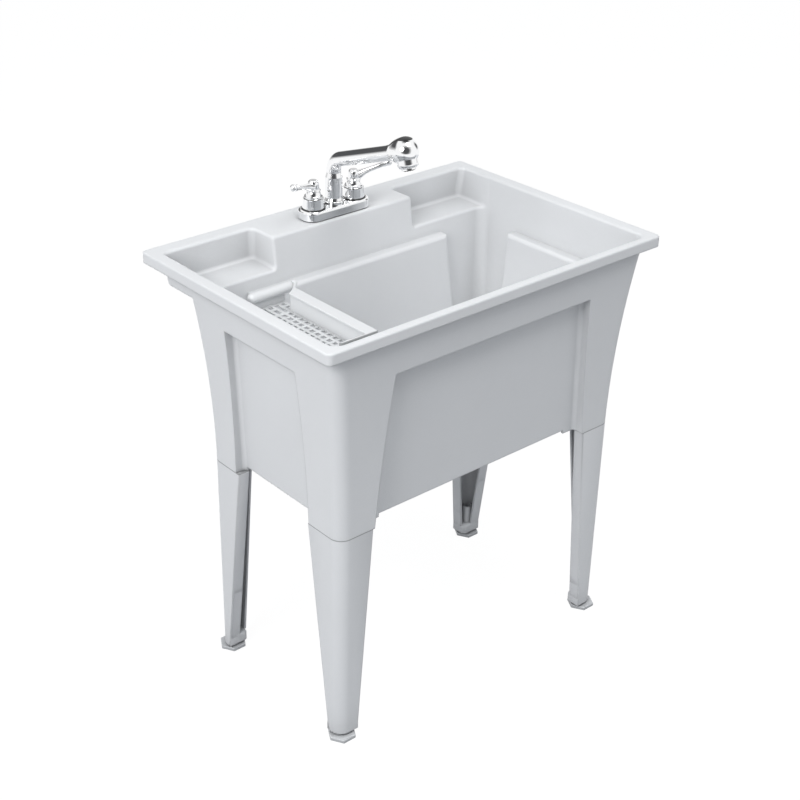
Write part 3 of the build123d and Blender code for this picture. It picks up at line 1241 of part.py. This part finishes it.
# ---------------------------------------------------------------- all pieces
def all_pieces():
    pieces = {
        "tub": make_tub(),
        "drain_tray": make_tray(),
        "foot_locknuts": make_foot_locknuts(),
        "leg_screws": make_leg_screws(),
        "drain_body": make_drain_body(),
        "drain_seal": make_drain_seal(),
        "drain_washer": make_drain_washer(),
        "drain_locknut": make_drain_locknut(),
        "strainer_basket": make_strainer_basket(),
        "tailpiece_washer": make_tailpiece_washer(),
        "tailpiece": make_tailpiece(),
        "slip_nut": make_slip_nut(),
        "deck_gasket": make_deck_gasket(),
        "faucet_base": make_base(),
        "faucet_waterway": make_waterway(),
        "spout_rings": make_spout_rings(),
        "mounting_washers": make_mount_washers(),
        "mounting_nuts": make_mount_nuts(),
        "spout_collar": make_spout_collar(),
        "spout": make_spout(),
        "spout_grub_screw": make_spout_grub(),
        "dock_sleeve": make_dock_sleeve(),
        "spray_head": make_spray_head(),
        "spray_nozzle": make_spray_nozzle(),
        "spray_button": make_spray_button(),
        "spray_hose": make_spray_hose(),
    }
    for name, side in CORNERS.items():
        pieces["leg_" + name] = make_leg(side)
        pieces["foot_" + name] = make_foot(side)
    for name, side in (("left", -1), ("right", 1)):
        x = side * VALVE_X
        pieces["cartridge_" + name] = make_cartridge(x)
        pieces["bonnet_" + name] = make_bonnet(x)
        pieces["valve_stem_" + name] = make_stem(x)
        pieces["handle_" + name] = make_handle(x, side)
        pieces["handle_screw_" + name] = make_handle_screw(x)
        pieces["handle_cap_" + name] = make_handle_cap(x)
    return pieces


def main():
    os.makedirs("parts", exist_ok=True)
    for name, shape in all_pieces().items():
        export_step(shape, f"parts/{name}.step")


if __name__ == "__main__":
    main()
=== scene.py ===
import json
import math

import bmesh
import bpy
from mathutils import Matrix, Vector


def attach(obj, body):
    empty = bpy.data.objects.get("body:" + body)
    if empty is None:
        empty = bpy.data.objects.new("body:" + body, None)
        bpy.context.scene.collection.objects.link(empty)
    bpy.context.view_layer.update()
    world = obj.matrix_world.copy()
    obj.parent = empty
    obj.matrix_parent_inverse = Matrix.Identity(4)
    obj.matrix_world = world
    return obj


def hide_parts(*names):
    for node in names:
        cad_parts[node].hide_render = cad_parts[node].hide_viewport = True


# Utility laundry sink: finishes, fine fittings, studio and camera. Metres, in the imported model's frame:
# +Z up, the user stands at -Y, the faucet is at +Y.

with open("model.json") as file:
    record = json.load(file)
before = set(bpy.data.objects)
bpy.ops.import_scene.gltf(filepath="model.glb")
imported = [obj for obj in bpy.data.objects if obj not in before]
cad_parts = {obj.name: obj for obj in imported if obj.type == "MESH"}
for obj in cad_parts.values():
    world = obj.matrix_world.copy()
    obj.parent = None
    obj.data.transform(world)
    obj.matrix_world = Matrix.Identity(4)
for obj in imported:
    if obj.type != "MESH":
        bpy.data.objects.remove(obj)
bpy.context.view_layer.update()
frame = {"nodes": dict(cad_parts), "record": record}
NODES = frame["nodes"]
SLOT_OF = {part["node"]: part["material_slot"] for part in frame["record"]["subparts"]}
SCENE = bpy.context.scene


# ---------------------------------------------------------------- node helpers
def new_material(name):
    material = bpy.data.materials.new(name)
    material.use_nodes = True
    return material, material.node_tree, material.node_tree.nodes["Principled BSDF"]


def add(tree, kind, **values):
    """New node of a kind, with its properties or, where it has no such property, its inputs set."""
    node = tree.nodes.new(kind)
    for key, value in values.items():
        if hasattr(node, key):
            setattr(node, key, value)
        else:
            node.inputs[key.replace("_", " ")].default_value = value
    return node


def object_place(tree):
    return add(tree, "ShaderNodeTexCoord").outputs["Object"]


def noise(tree, place, scale, detail=3.0, rough=0.55):
    node = add(tree, "ShaderNodeTexNoise", Scale=scale, Detail=detail, Roughness=rough)
    tree.links.new(place, node.inputs["Vector"])
    return node.outputs["Fac"]


def spread(tree, value, low, high, start=0.0, end=1.0):
    """Maps start..end of a value to low..high."""
    node = add(tree, "ShaderNodeMapRange")
    node.inputs["From Min"].default_value = start
    node.inputs["From Max"].default_value = end
    node.inputs["To Min"].default_value = low
    node.inputs["To Max"].default_value = high
    tree.links.new(value, node.inputs["Value"])
    return node.outputs["Result"]


def blend_colours(tree, factor, first, second):
    """Mix of two colours, each a tuple or another node's output."""
    node = tree.nodes.new("ShaderNodeMix")
    node.data_type = "RGBA"
    for name, colour in (("A", first), ("B", second)):
        socket = [s for s in node.inputs if s.name == name and s.type == "RGBA"][0]
        if isinstance(colour, tuple):
            socket.default_value = (*colour, 1.0)
        else:
            tree.links.new(colour, socket)
    factor_socket = [s for s in node.inputs if s.name == "Factor" and s.type == "VALUE"][0]
    tree.links.new(factor, factor_socket)
    return [s for s in node.outputs if s.type == "RGBA"][0]


def bump(tree, shader, height, strength, distance, facing=None):
    node = add(tree, "ShaderNodeBump", Strength=strength, Distance=distance)
    tree.links.new(height, node.inputs["Height"])
    if facing:
        tree.links.new(facing, node.inputs["Normal"])
    tree.links.new(node.outputs["Normal"], shader.inputs["Normal"])


# ---------------------------------------------------------------- materials
# Where the tub's posts stand on the legs, and half the width of the painted shadow line along the joint
# there.
SEAM_HEIGHT = 0.454
SEAM_HALF = 0.0011


def rounded_edges(tree, radius):
    """Surface direction with the edges rounded off, as moulded and cast pieces have them."""
    return add(tree, "ShaderNodeBevel", samples=6, Radius=radius).outputs["Normal"]


def seam_shade(tree, place):
    """1 on the thin joint between the tub's posts and the legs, where a painted shadow line goes, else 0."""
    parts = add(tree, "ShaderNodeSeparateXYZ")
    tree.links.new(place, parts.inputs["Vector"])
    away = add(tree, "ShaderNodeMath", operation="SUBTRACT")
    tree.links.new(parts.outputs["Z"], away.inputs[0])
    away.inputs[1].default_value = SEAM_HEIGHT
    size = add(tree, "ShaderNodeMath", operation="ABSOLUTE")
    tree.links.new(away.outputs["Value"], size.inputs[0])
    return spread(tree, size.outputs["Value"], 1.0, 0.0, SEAM_HALF * 0.5, SEAM_HALF)


def painted_hollow_shade(tree, reach):
    """1 in the open, towards 0 in hollows and inside corners, where the plastic's colour is darkened as
    painted shade.
    """
    return add(tree, "ShaderNodeAmbientOcclusion", samples=5, Distance=reach).outputs["AO"]


def moulded_plastic(name, colour, speckle, rough, edge=0.002, reach=0.02, seam=False):
    """Moulded plastic: a fine dark speckle, a soft cloudiness and a satin skin, with painted shade in
    hollows and corners and, where asked, a painted shadow line on the seam.
    """
    material, tree, shader = new_material(name)
    place = object_place(tree)
    grain = spread(tree, noise(tree, place, 1900.0, 2.0), 0.0, 1.0, 0.60, 0.72)
    cloud = noise(tree, place, 9.0, 4.0)
    darker = tuple(channel * (1 - speckle) for channel in colour)
    paler = tuple(min(channel * 1.02, 1.0) for channel in colour)
    clouded = blend_colours(tree, cloud, tuple(channel * 0.975 for channel in colour), paler)
    speckled = blend_colours(tree, grain, clouded, darker)
    if seam:
        # Painted shadow: a dark line along the joint between the posts and the legs.
        shadow = tuple(channel * 0.45 for channel in colour)
        speckled = blend_colours(tree, seam_shade(tree, place), speckled, shadow)
    # Painted shade: the colour falls to 0.58 of itself in hollows and inside corners.
    hollow_shade_colour = tuple(channel * 0.58 for channel in colour)
    open_to_light = spread(tree, painted_hollow_shade(tree, reach), 0.0, 1.0, 0.25, 0.85)
    tree.links.new(blend_colours(tree, open_to_light, hollow_shade_colour, speckled), shader.inputs["Base Color"])
    satin = spread(tree, noise(tree, place, 60.0), rough - 0.06, rough + 0.06)
    tree.links.new(satin, shader.inputs["Roughness"])
    bump(tree, shader, noise(tree, place, 1400.0, 2.0), 0.10, 0.0002, rounded_edges(tree, edge))
    shader.inputs["Specular IOR Level"].default_value = 0.42
    return material


def polished_chrome(name):
    """Bright plate with faint wipe marks and the slightest waviness."""
    material, tree, shader = new_material(name)
    place = object_place(tree)
    shader.inputs["Metallic"].default_value = 1.0
    smear = noise(tree, place, 45.0, 5.0, 0.65)
    tint = blend_colours(tree, smear, (0.90, 0.905, 0.915), (0.96, 0.965, 0.97))
    tree.links.new(tint, shader.inputs["Base Color"])
    tree.links.new(spread(tree, smear, 0.03, 0.11, 0.35, 0.75), shader.inputs["Roughness"])
    bump(tree, shader, noise(tree, place, 24.0, 1.0), 0.04, 0.0006)
    return material


def turned_metal(name, colour, rough):
    """Machined or brushed metal: fine rings of brightness across the height."""
    material, tree, shader = new_material(name)
    place = object_place(tree)
    stretch = add(tree, "ShaderNodeMapping")
    stretch.inputs["Scale"].default_value = (1.0, 1.0, 30.0)
    tree.links.new(place, stretch.inputs["Vector"])
    lines = noise(tree, stretch.outputs["Vector"], 60.0, 4.0)
    shader.inputs["Metallic"].default_value = 1.0
    tint = blend_colours(tree, lines, tuple(c * 0.85 for c in colour), colour)
    tree.links.new(tint, shader.inputs["Base Color"])
    tree.links.new(spread(tree, lines, rough - 0.07, rough + 0.09), shader.inputs["Roughness"])
    bump(tree, shader, lines, 0.08, 0.0002)
    return material


def soft_dark(name, colour, rough, lift):
    """Black plastic or rubber with a fine matt grain and dust-pale high spots."""
    material, tree, shader = new_material(name)
    place = object_place(tree)
    grain = noise(tree, place, 900.0, 3.0)
    tint = blend_colours(tree, grain, colour, tuple(c + lift for c in colour))
    tree.links.new(tint, shader.inputs["Base Color"])
    tree.links.new(spread(tree, grain, rough - 0.08, rough + 0.08), shader.inputs["Roughness"])
    bump(tree, shader, grain, 0.15, 0.0002)
    return material


def braided_hose(name):
    """Grey woven sleeve: two crossing sets of fine slanting strands."""
    material, tree, shader = new_material(name)
    place = object_place(tree)
    strands = []
    for slant in (1.0, -1.0):
        turn = add(tree, "ShaderNodeMapping")
        turn.inputs["Rotation"].default_value = (slant * math.radians(40), 0.0, slant * math.radians(35))
        tree.links.new(place, turn.inputs["Vector"])
        wave = add(tree, "ShaderNodeTexWave", Scale=260.0, Distortion=0.6)
        tree.links.new(turn.outputs["Vector"], wave.inputs["Vector"])
        strands.append(wave.outputs["Fac"])
    both = add(tree, "ShaderNodeMath", operation="MULTIPLY")
    tree.links.new(strands[0], both.inputs[0])
    tree.links.new(strands[1], both.inputs[1])
    weave = both.outputs["Value"]
    tint = blend_colours(tree, weave, (0.22, 0.22, 0.23), (0.48, 0.48, 0.49))
    tree.links.new(tint, shader.inputs["Base Color"])
    tree.links.new(spread(tree, weave, 0.30, 0.55), shader.inputs["Roughness"])
    bump(tree, shader, weave, 0.5, 0.0006)
    shader.inputs["Metallic"].default_value = 0.4
    return material


MATERIALS = {
    "tub_plastic": moulded_plastic(
        "tub_plastic_look", (0.86, 0.868, 0.88), speckle=0.14, rough=0.46, edge=0.004, reach=0.095, seam=True
    ),
    "tray_plastic": moulded_plastic("tray_plastic_look", (0.83, 0.84, 0.85), speckle=0.05, rough=0.40),
    "foot_plastic": moulded_plastic(
        "foot_plastic_look", (0.70, 0.71, 0.725), speckle=0.10, rough=0.50, edge=0.001
    ),
    "white_plastic": moulded_plastic("white_plastic_look", (0.82, 0.82, 0.81), speckle=0.03, rough=0.34),
    "chrome": polished_chrome("chrome_look"),
    "steel": turned_metal("steel_look", (0.62, 0.62, 0.63), rough=0.28),
    "brass": turned_metal("brass_look", (0.74, 0.57, 0.28), rough=0.26),
    "rubber": soft_dark("rubber_look", (0.022, 0.022, 0.023), rough=0.62, lift=0.012),
    "black_plastic": soft_dark("black_plastic_look", (0.018, 0.018, 0.019), rough=0.42, lift=0.010),
    "hose_grey": braided_hose("hose_grey_look"),
}


def dress_nodes():
    """Gives each carried-over solid the look of its slot."""
    for name, node in NODES.items():
        node.data.materials.clear()
        node.data.materials.append(MATERIALS[SLOT_OF[name]])


dress_nodes()


# ---------------------------------------------------------------- pieces
SHARP_ANGLE = math.radians(32)


def shown_piece(name, shape, body, slot, stands_for=()):
    """Puts a bmesh in the scene as a smooth piece that moves with a body."""
    mesh = bpy.data.meshes.new(name)
    bmesh.ops.recalc_face_normals(shape, faces=shape.faces)
    shape.to_mesh(mesh)
    shape.free()
    for face in mesh.polygons:
        face.use_smooth = True
    mesh.set_sharp_from_angle(angle=SHARP_ANGLE)
    mesh.materials.append(MATERIALS[slot])
    piece = bpy.data.objects.new(name, mesh)
    SCENE.collection.objects.link(piece)
    even = piece.modifiers.new("even_shading", "WEIGHTED_NORMAL")
    even.keep_sharp = True
    even.weight = 80
    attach(piece, body)
    if stands_for:
        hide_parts(*stands_for)


def ring_of(shape, centre, across, up, radius, count):
    """Circle of vertices about a centre, in the plane of two directions."""
    corners = []
    for step in range(count):
        turn = 2 * math.pi * step / count
        corners.append(shape.verts.new(centre + (across * math.cos(turn) + up * math.sin(turn)) * radius))
    return corners


def join_rings(shape, rings, closed=False):
    """Skins one ring to the next, with caps at the ends unless the rings close on themselves."""
    pairs = list(zip(rings, rings[1:]))
    if closed:
        pairs.append((rings[-1], rings[0]))
    else:
        shape.faces.new(rings[0][::-1])
        shape.faces.new(rings[-1])
    for low, high in pairs:
        for step in range(len(low)):
            after = (step + 1) % len(low)
            shape.faces.new((low[step], low[after], high[after], high[step]))


def turned(shape, x, y, profile, count=48, closed=False):
    """Adds a body of revolution about the upright line at x, y; the profile is (radius, height) pairs."""
    rings = [
        ring_of(shape, Vector((x, y, height)), Vector((1, 0, 0)), Vector((0, 1, 0)), radius, count)
        for radius, height in profile
    ]
    join_rings(shape, rings, closed)


def swept(shape, path, count=20):
    """Adds a round bar along (point, radius) pairs."""
    rings = []
    for index, (point, radius) in enumerate(path):
        before = path[max(index - 1, 0)][0]
        after = path[min(index + 1, len(path) - 1)][0]
        along = (after - before).normalized()
        across = along.cross(Vector((0, 0, 1))).normalized()
        rings.append(ring_of(shape, point, across, across.cross(along), radius, count))
    join_rings(shape, rings)


# The line of the faucet, its two valves and the handles on them.
FAUCET_Y = 0.212
VALVE_X = 0.0508
HUB_FOOT = 0.8988
HUB_TOP = 0.9326
LEVER_TURN = math.radians(21.4)


def make_handle(side_name, side):
    """Stepped hub with a bead and a grooved neck, and the teapot lever at its side."""
    shape = bmesh.new()
    x = side * VALVE_X
    # Each pair is a radius and a height.
    hub = [
        (0.0140, HUB_FOOT), (0.0176, HUB_FOOT), (0.0184, 0.9002), (0.0184, 0.9022), (0.0174, 0.9036),
        (0.0152, 0.9042), (0.0150, 0.9052), (0.0144, 0.9085), (0.0132, 0.9112), (0.0130, 0.9118),
        (0.0142, 0.9126), (0.0147, 0.9140), (0.0142, 0.9154), (0.0124, 0.9162), (0.0120, 0.9172),
        (0.0116, 0.9220), (0.0112, 0.9270), (0.0104, 0.9308), (0.0092, 0.9324), (0.0082, HUB_TOP),
    ]
    turned(shape, x, FAUCET_Y, hub)
    way = Vector((side * math.cos(LEVER_TURN), -math.sin(LEVER_TURN), 0.0))
    root = Vector((x, FAUCET_Y, 0.0))
    # Each row is a distance from the valve's line, a height and a radius.
    lever = [
        (0.000, 0.9186, 0.0098), (0.007, 0.9205, 0.0096), (0.013, 0.9230, 0.0088),
        (0.019, 0.9257, 0.0073), (0.026, 0.9281, 0.0060), (0.036, 0.9308, 0.0052),
        (0.048, 0.9340, 0.0049), (0.058, 0.9368, 0.0051), (0.0625, 0.9381, 0.0056),
        (0.0640, 0.9385, 0.0066), (0.0655, 0.9389, 0.0066), (0.0668, 0.9393, 0.0056),
        (0.0682, 0.9397, 0.0062), (0.0705, 0.9404, 0.0070), (0.0735, 0.9413, 0.0072),
        (0.0765, 0.9421, 0.0064), (0.0785, 0.9427, 0.0048), (0.0797, 0.9430, 0.0024),
    ]
    path = [(root + way * reach + Vector((0, 0, height)), radius) for reach, height, radius in lever]
    swept(shape, path)
    solid = "handle_" + side_name
    shown_piece("handle_shape_" + side_name, shape, solid, "chrome", [solid])


def make_bonnet_seal(side_name, side):
    """Dark seal that squeezes out under the bonnet."""
    shape = bmesh.new()
    profile = [(0.0215, 0.8772), (0.0234, 0.8772), (0.0239, 0.8781), (0.0234, 0.8790), (0.0215, 0.8790)]
    turned(shape, side * VALVE_X, FAUCET_Y, profile, closed=True)
    shown_piece("bonnet_seal_" + side_name, shape, "sink", "rubber")


for side_name, side in (("left", -1), ("right", 1)):
    make_handle(side_name, side)
    make_bonnet_seal(side_name, side)


# Underside of the tub's floor ribs, how far their ends rise, and how near a wall counts as an end.
RIB_LOW = 0.455
RIB_FADE = 0.0064
RIB_END = 0.004
SAME_HEIGHT = 0.0002


def make_tub():
    """Tub whose floor ribs run out to nothing at the walls, so that its lower edges are clean lines."""
    node = NODES["tub"]
    piece = bpy.data.objects.new("tub_shape", node.data.copy())
    SCENE.collection.objects.link(piece)
    ends = [vertex for vertex in piece.data.vertices if abs(vertex.co.z - RIB_LOW) < SAME_HEIGHT]
    far_x = max(abs(vertex.co.x) for vertex in ends)
    front = min(vertex.co.y for vertex in ends)
    back = max(vertex.co.y for vertex in ends)
    for vertex in ends:
        at_side = abs(vertex.co.x) > far_x - RIB_END
        if at_side or vertex.co.y < front + RIB_END or vertex.co.y > back - RIB_END:
            vertex.co.z = RIB_LOW + RIB_FADE
    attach(piece, "sink")
    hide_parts("tub")


make_tub()


# Outer faces of the legs, their lower end and the height over which they taper.
LEG_OUTER_X = 0.355
LEG_OUTER_Y = {"front": -0.243, "back": 0.150}
LEG_LOW = 0.012
LEG_TALL = 0.442
# The shoe at a leg's foot: its top, and how deep it may be along each axis.
SHOE_TOP = 0.0345
SHOE_DEEP_X = 0.0470
SHOE_DEEP_Y = 0.0355
# A return lip: its ends, its thickness, where it starts and stops in depth, and how proud it stands.
LIP_LOW = 0.031
LIP_HIGH = 0.4535
LIP_THICKNESS = 0.0050
LIP_NEAR = 0.003
LIP_FAR = 0.0252
LIP_PROUD = 0.00015
# Depth of a lip's edge at the foot, and what is added to it at the top, along each axis.
LIP_REACH_X = (0.046, 0.033)
LIP_REACH_Y = (0.032, 0.057)
WELD = 0.00002


def lip_strip(shape, place, reach, along_x, low, high):
    """Return lip of a leg, tapered with the wall that carries it."""
    corners = []
    for z in (low, high):
        edge = reach[0] + reach[1] * (z - LEG_LOW) / LEG_TALL + LIP_PROUD
        inner = edge - LIP_THICKNESS
        for far, deep in ((inner, LIP_NEAR), (edge, LIP_NEAR), (edge, LIP_FAR), (inner, LIP_FAR)):
            pair = (far, deep) if along_x else (deep, far)
            corners.append(shape.verts.new(place(pair[0], pair[1], z)))
    for face in ((3, 2, 1, 0), (4, 5, 6, 7), (0, 1, 5, 4), (1, 2, 6, 5), (2, 3, 7, 6), (3, 0, 4, 7)):
        shape.faces.new([corners[index] for index in face])


def make_leg(end, side_name, side):
    """Leg with its return lips carried down into the shoe, and a shoe that keeps within the leg's edges."""
    name = "leg_" + end + "_" + side_name
    outer_x = side * LEG_OUTER_X
    outer_y = LEG_OUTER_Y[end]
    inward_x = -side
    inward_y = -1 if end == "back" else 1

    def place(deep_x, deep_y, z):
        return Vector((outer_x + inward_x * deep_x, outer_y + inward_y * deep_y, z))

    shape = bmesh.new()
    shape.from_mesh(NODES[name].data)
    bmesh.ops.remove_doubles(shape, verts=shape.verts, dist=WELD)
    for corner in shape.verts:
        if corner.co.z < SHOE_TOP:
            deep_x = min((corner.co.x - outer_x) * inward_x, SHOE_DEEP_X)
            deep_y = min((corner.co.y - outer_y) * inward_y, SHOE_DEEP_Y)
            corner.co = place(deep_x, deep_y, corner.co.z)
    lip_strip(shape, place, LIP_REACH_X, True, LIP_LOW, LIP_HIGH)
    lip_strip(shape, place, LIP_REACH_Y, False, LIP_LOW, LIP_HIGH)
    shown_piece(name + "_shape", shape, "sink", SLOT_OF[name], [name])


for end in ("front", "back"):
    for side_name, side in (("left", -1), ("right", 1)):
        make_leg(end, side_name, side)


# ---------------------------------------------------------------- studio
# Light that the surroundings give, and its tint; the floor's own white, and the grey that it reflects.
WORLD_LIGHT = 0.44
SKY_TINT = (0.93, 0.965, 1.0)
FLOOR_GLOW = 0.90
FLOOR_WHITE = 1.06
FLOOR_BOUNCE = (0.40, 0.41, 0.43)
FLOOR_SIZE = (60.0, 60.0)
FLAG_WHITE = 0.85
# What the lamps and the dark cards are aimed at.
MIDDLE = Vector((0.0, 0.0, 0.55))
FAUCET = Vector((0.0, 0.15, 0.93))


def staged_plane(name, centre, size, facing, material):
    """Flat card of a size, square to a direction."""
    mesh = bpy.data.meshes.new(name)
    half_x, half_y = size[0] / 2, size[1] / 2
    corners = [(-half_x, -half_y, 0), (half_x, -half_y, 0), (half_x, half_y, 0), (-half_x, half_y, 0)]
    mesh.from_pydata(corners, [], [(0, 1, 2, 3)])
    card = bpy.data.objects.new(name, mesh)
    SCENE.collection.objects.link(card)
    card.location = centre
    card.rotation_euler = Vector(facing).to_track_quat("Z", "Y").to_euler()
    mesh.materials.append(material)
    return card


def seen_directly(tree):
    """1 for rays from the camera, off a shiny surface or through a clear one, else 0."""
    path = add(tree, "ShaderNodeLightPath")
    total = path.outputs["Is Camera Ray"]
    for name in ("Is Glossy Ray", "Is Transmission Ray"):
        greater = add(tree, "ShaderNodeMath", operation="MAXIMUM")
        tree.links.new(total, greater.inputs[0])
        tree.links.new(path.outputs[name], greater.inputs[1])
        total = greater.outputs["Value"]
    return total


def make_world():
    """Even pale surroundings that light the object plainly and show as white."""
    world = bpy.data.worlds.new("studio")
    SCENE.world = world
    world.use_nodes = True
    tree = world.node_tree
    background = tree.nodes["Background"]
    seen = seen_directly(tree)
    tint = blend_colours(tree, seen, SKY_TINT, (1.0, 1.0, 1.0))
    tree.links.new(tint, background.inputs["Color"])
    tree.links.new(spread(tree, seen, WORLD_LIGHT, 1.0), background.inputs["Strength"])


def make_floor():
    """Wide pale floor: white to the camera, with the soft shadow of the object kept."""
    material, tree, shader = new_material("floor_look")
    shader.inputs["Roughness"].default_value = 0.9
    shader.inputs["Specular IOR Level"].default_value = 0.0
    seen = seen_directly(tree)
    grain = noise(tree, object_place(tree), 3.0)
    pale = blend_colours(tree, grain, (0.93, 0.93, 0.93), (0.95, 0.95, 0.95))
    tree.links.new(blend_colours(tree, seen, FLOOR_BOUNCE, pale), shader.inputs["Base Color"])
    glow = add(tree, "ShaderNodeEmission")
    glow.inputs["Strength"].default_value = FLOOR_WHITE
    both = add(tree, "ShaderNodeMixShader")
    tree.links.new(spread(tree, seen, 0.0, FLOOR_GLOW), both.inputs["Fac"])
    tree.links.new(shader.outputs["BSDF"], both.inputs[1])
    tree.links.new(glow.outputs["Emission"], both.inputs[2])
    output = tree.nodes["Material Output"]
    tree.links.new(both.outputs["Shader"], output.inputs["Surface"])
    staged_plane("floor", (0.0, 0.0, 0.0), FLOOR_SIZE, (0.0, 0.0, 1.0), material)


def make_lamp(name, place, aim, size, power):
    """Round soft lamp at a place, turned to what it lights."""
    lamp = bpy.data.lights.new(name, "AREA")
    lamp.shape = "DISK"
    lamp.size = size
    lamp.energy = power
    holder = bpy.data.objects.new(name, lamp)
    SCENE.collection.objects.link(holder)
    holder.location = place
    holder.rotation_euler = (Vector(place) - Vector(aim)).to_track_quat("Z", "Y").to_euler()


def make_flag(name, centre, size, aim):
    """Dark card with a soft pale edge that shows only in reflections."""
    material, tree, shader = new_material(name + "_look")
    shader.inputs["Roughness"].default_value = 1.0
    shader.inputs["Specular IOR Level"].default_value = 0.0
    place = object_place(tree)
    grain = noise(tree, place, 2.0)
    tint = blend_colours(tree, grain, (0.02, 0.022, 0.026), (0.05, 0.052, 0.058))
    tree.links.new(tint, shader.inputs["Base Color"])
    fit = add(tree, "ShaderNodeMapping")
    fit.inputs["Scale"].default_value = (2.0 / size[0], 2.0 / size[1], 1.0)
    tree.links.new(place, fit.inputs["Vector"])
    away = add(tree, "ShaderNodeVectorMath", operation="LENGTH")
    tree.links.new(fit.outputs["Vector"], away.inputs[0])
    glow = add(tree, "ShaderNodeEmission")
    glow.inputs["Strength"].default_value = FLAG_WHITE
    both = add(tree, "ShaderNodeMixShader")
    tree.links.new(spread(tree, away.outputs["Value"], 0.08, 1.0, 0.45, 1.05), both.inputs["Fac"])
    tree.links.new(shader.outputs["BSDF"], both.inputs[1])
    tree.links.new(glow.outputs["Emission"], both.inputs[2])
    output = tree.nodes["Material Output"]
    tree.links.new(both.outputs["Shader"], output.inputs["Surface"])
    card = staged_plane(name, centre, size, Vector(aim) - Vector(centre), material)
    card.visible_camera = False
    card.visible_diffuse = False
    card.visible_shadow = False
    card.visible_transmission = False


make_world()
make_floor()
make_lamp("key", (-3.4, -0.9, 2.9), MIDDLE, 2.2, 80.0)
make_lamp("top", (0.3, -1.4, 4.3), MIDDLE, 2.2, 50.0)
make_flag("flag_camera", (-2.8, -3.5, 2.6), (9.5, 8.5), FAUCET)
make_flag("flag_back", (-0.1, 3.1, 1.75), (6.2, 2.3), FAUCET)
make_flag("flag_right", (3.6, -0.6, 2.1), (2.4, 2.6), FAUCET)
make_flag("flag_over", (0.6, 0.8, 5.6), (4.5, 3.4), FAUCET)


# ---------------------------------------------------------------- camera
def make_camera():
    """The photograph's viewpoint, fitted to the rim's corners and the feet with the rim's size given."""
    azimuth = math.radians(-39.011)
    elevation = math.radians(28.234)
    back = Vector((
        math.sin(azimuth) * math.cos(elevation),
        -math.cos(azimuth) * math.cos(elevation),
        math.sin(elevation),
    ))
    data = bpy.data.cameras.new("photo_camera")
    data.sensor_width = 36.0
    data.lens = 65.10
    data.shift_x = 0.0765
    data.shift_y = -0.0056
    camera = bpy.data.objects.new("photo_camera", data)
    SCENE.collection.objects.link(camera)
    camera.location = (-1.6907, -1.8911, 1.8920)
    camera.rotation_euler = (-back).to_track_quat("-Z", "Y").to_euler()
    SCENE.camera = camera


make_camera()
SCENE.view_settings.view_transform = "Standard"
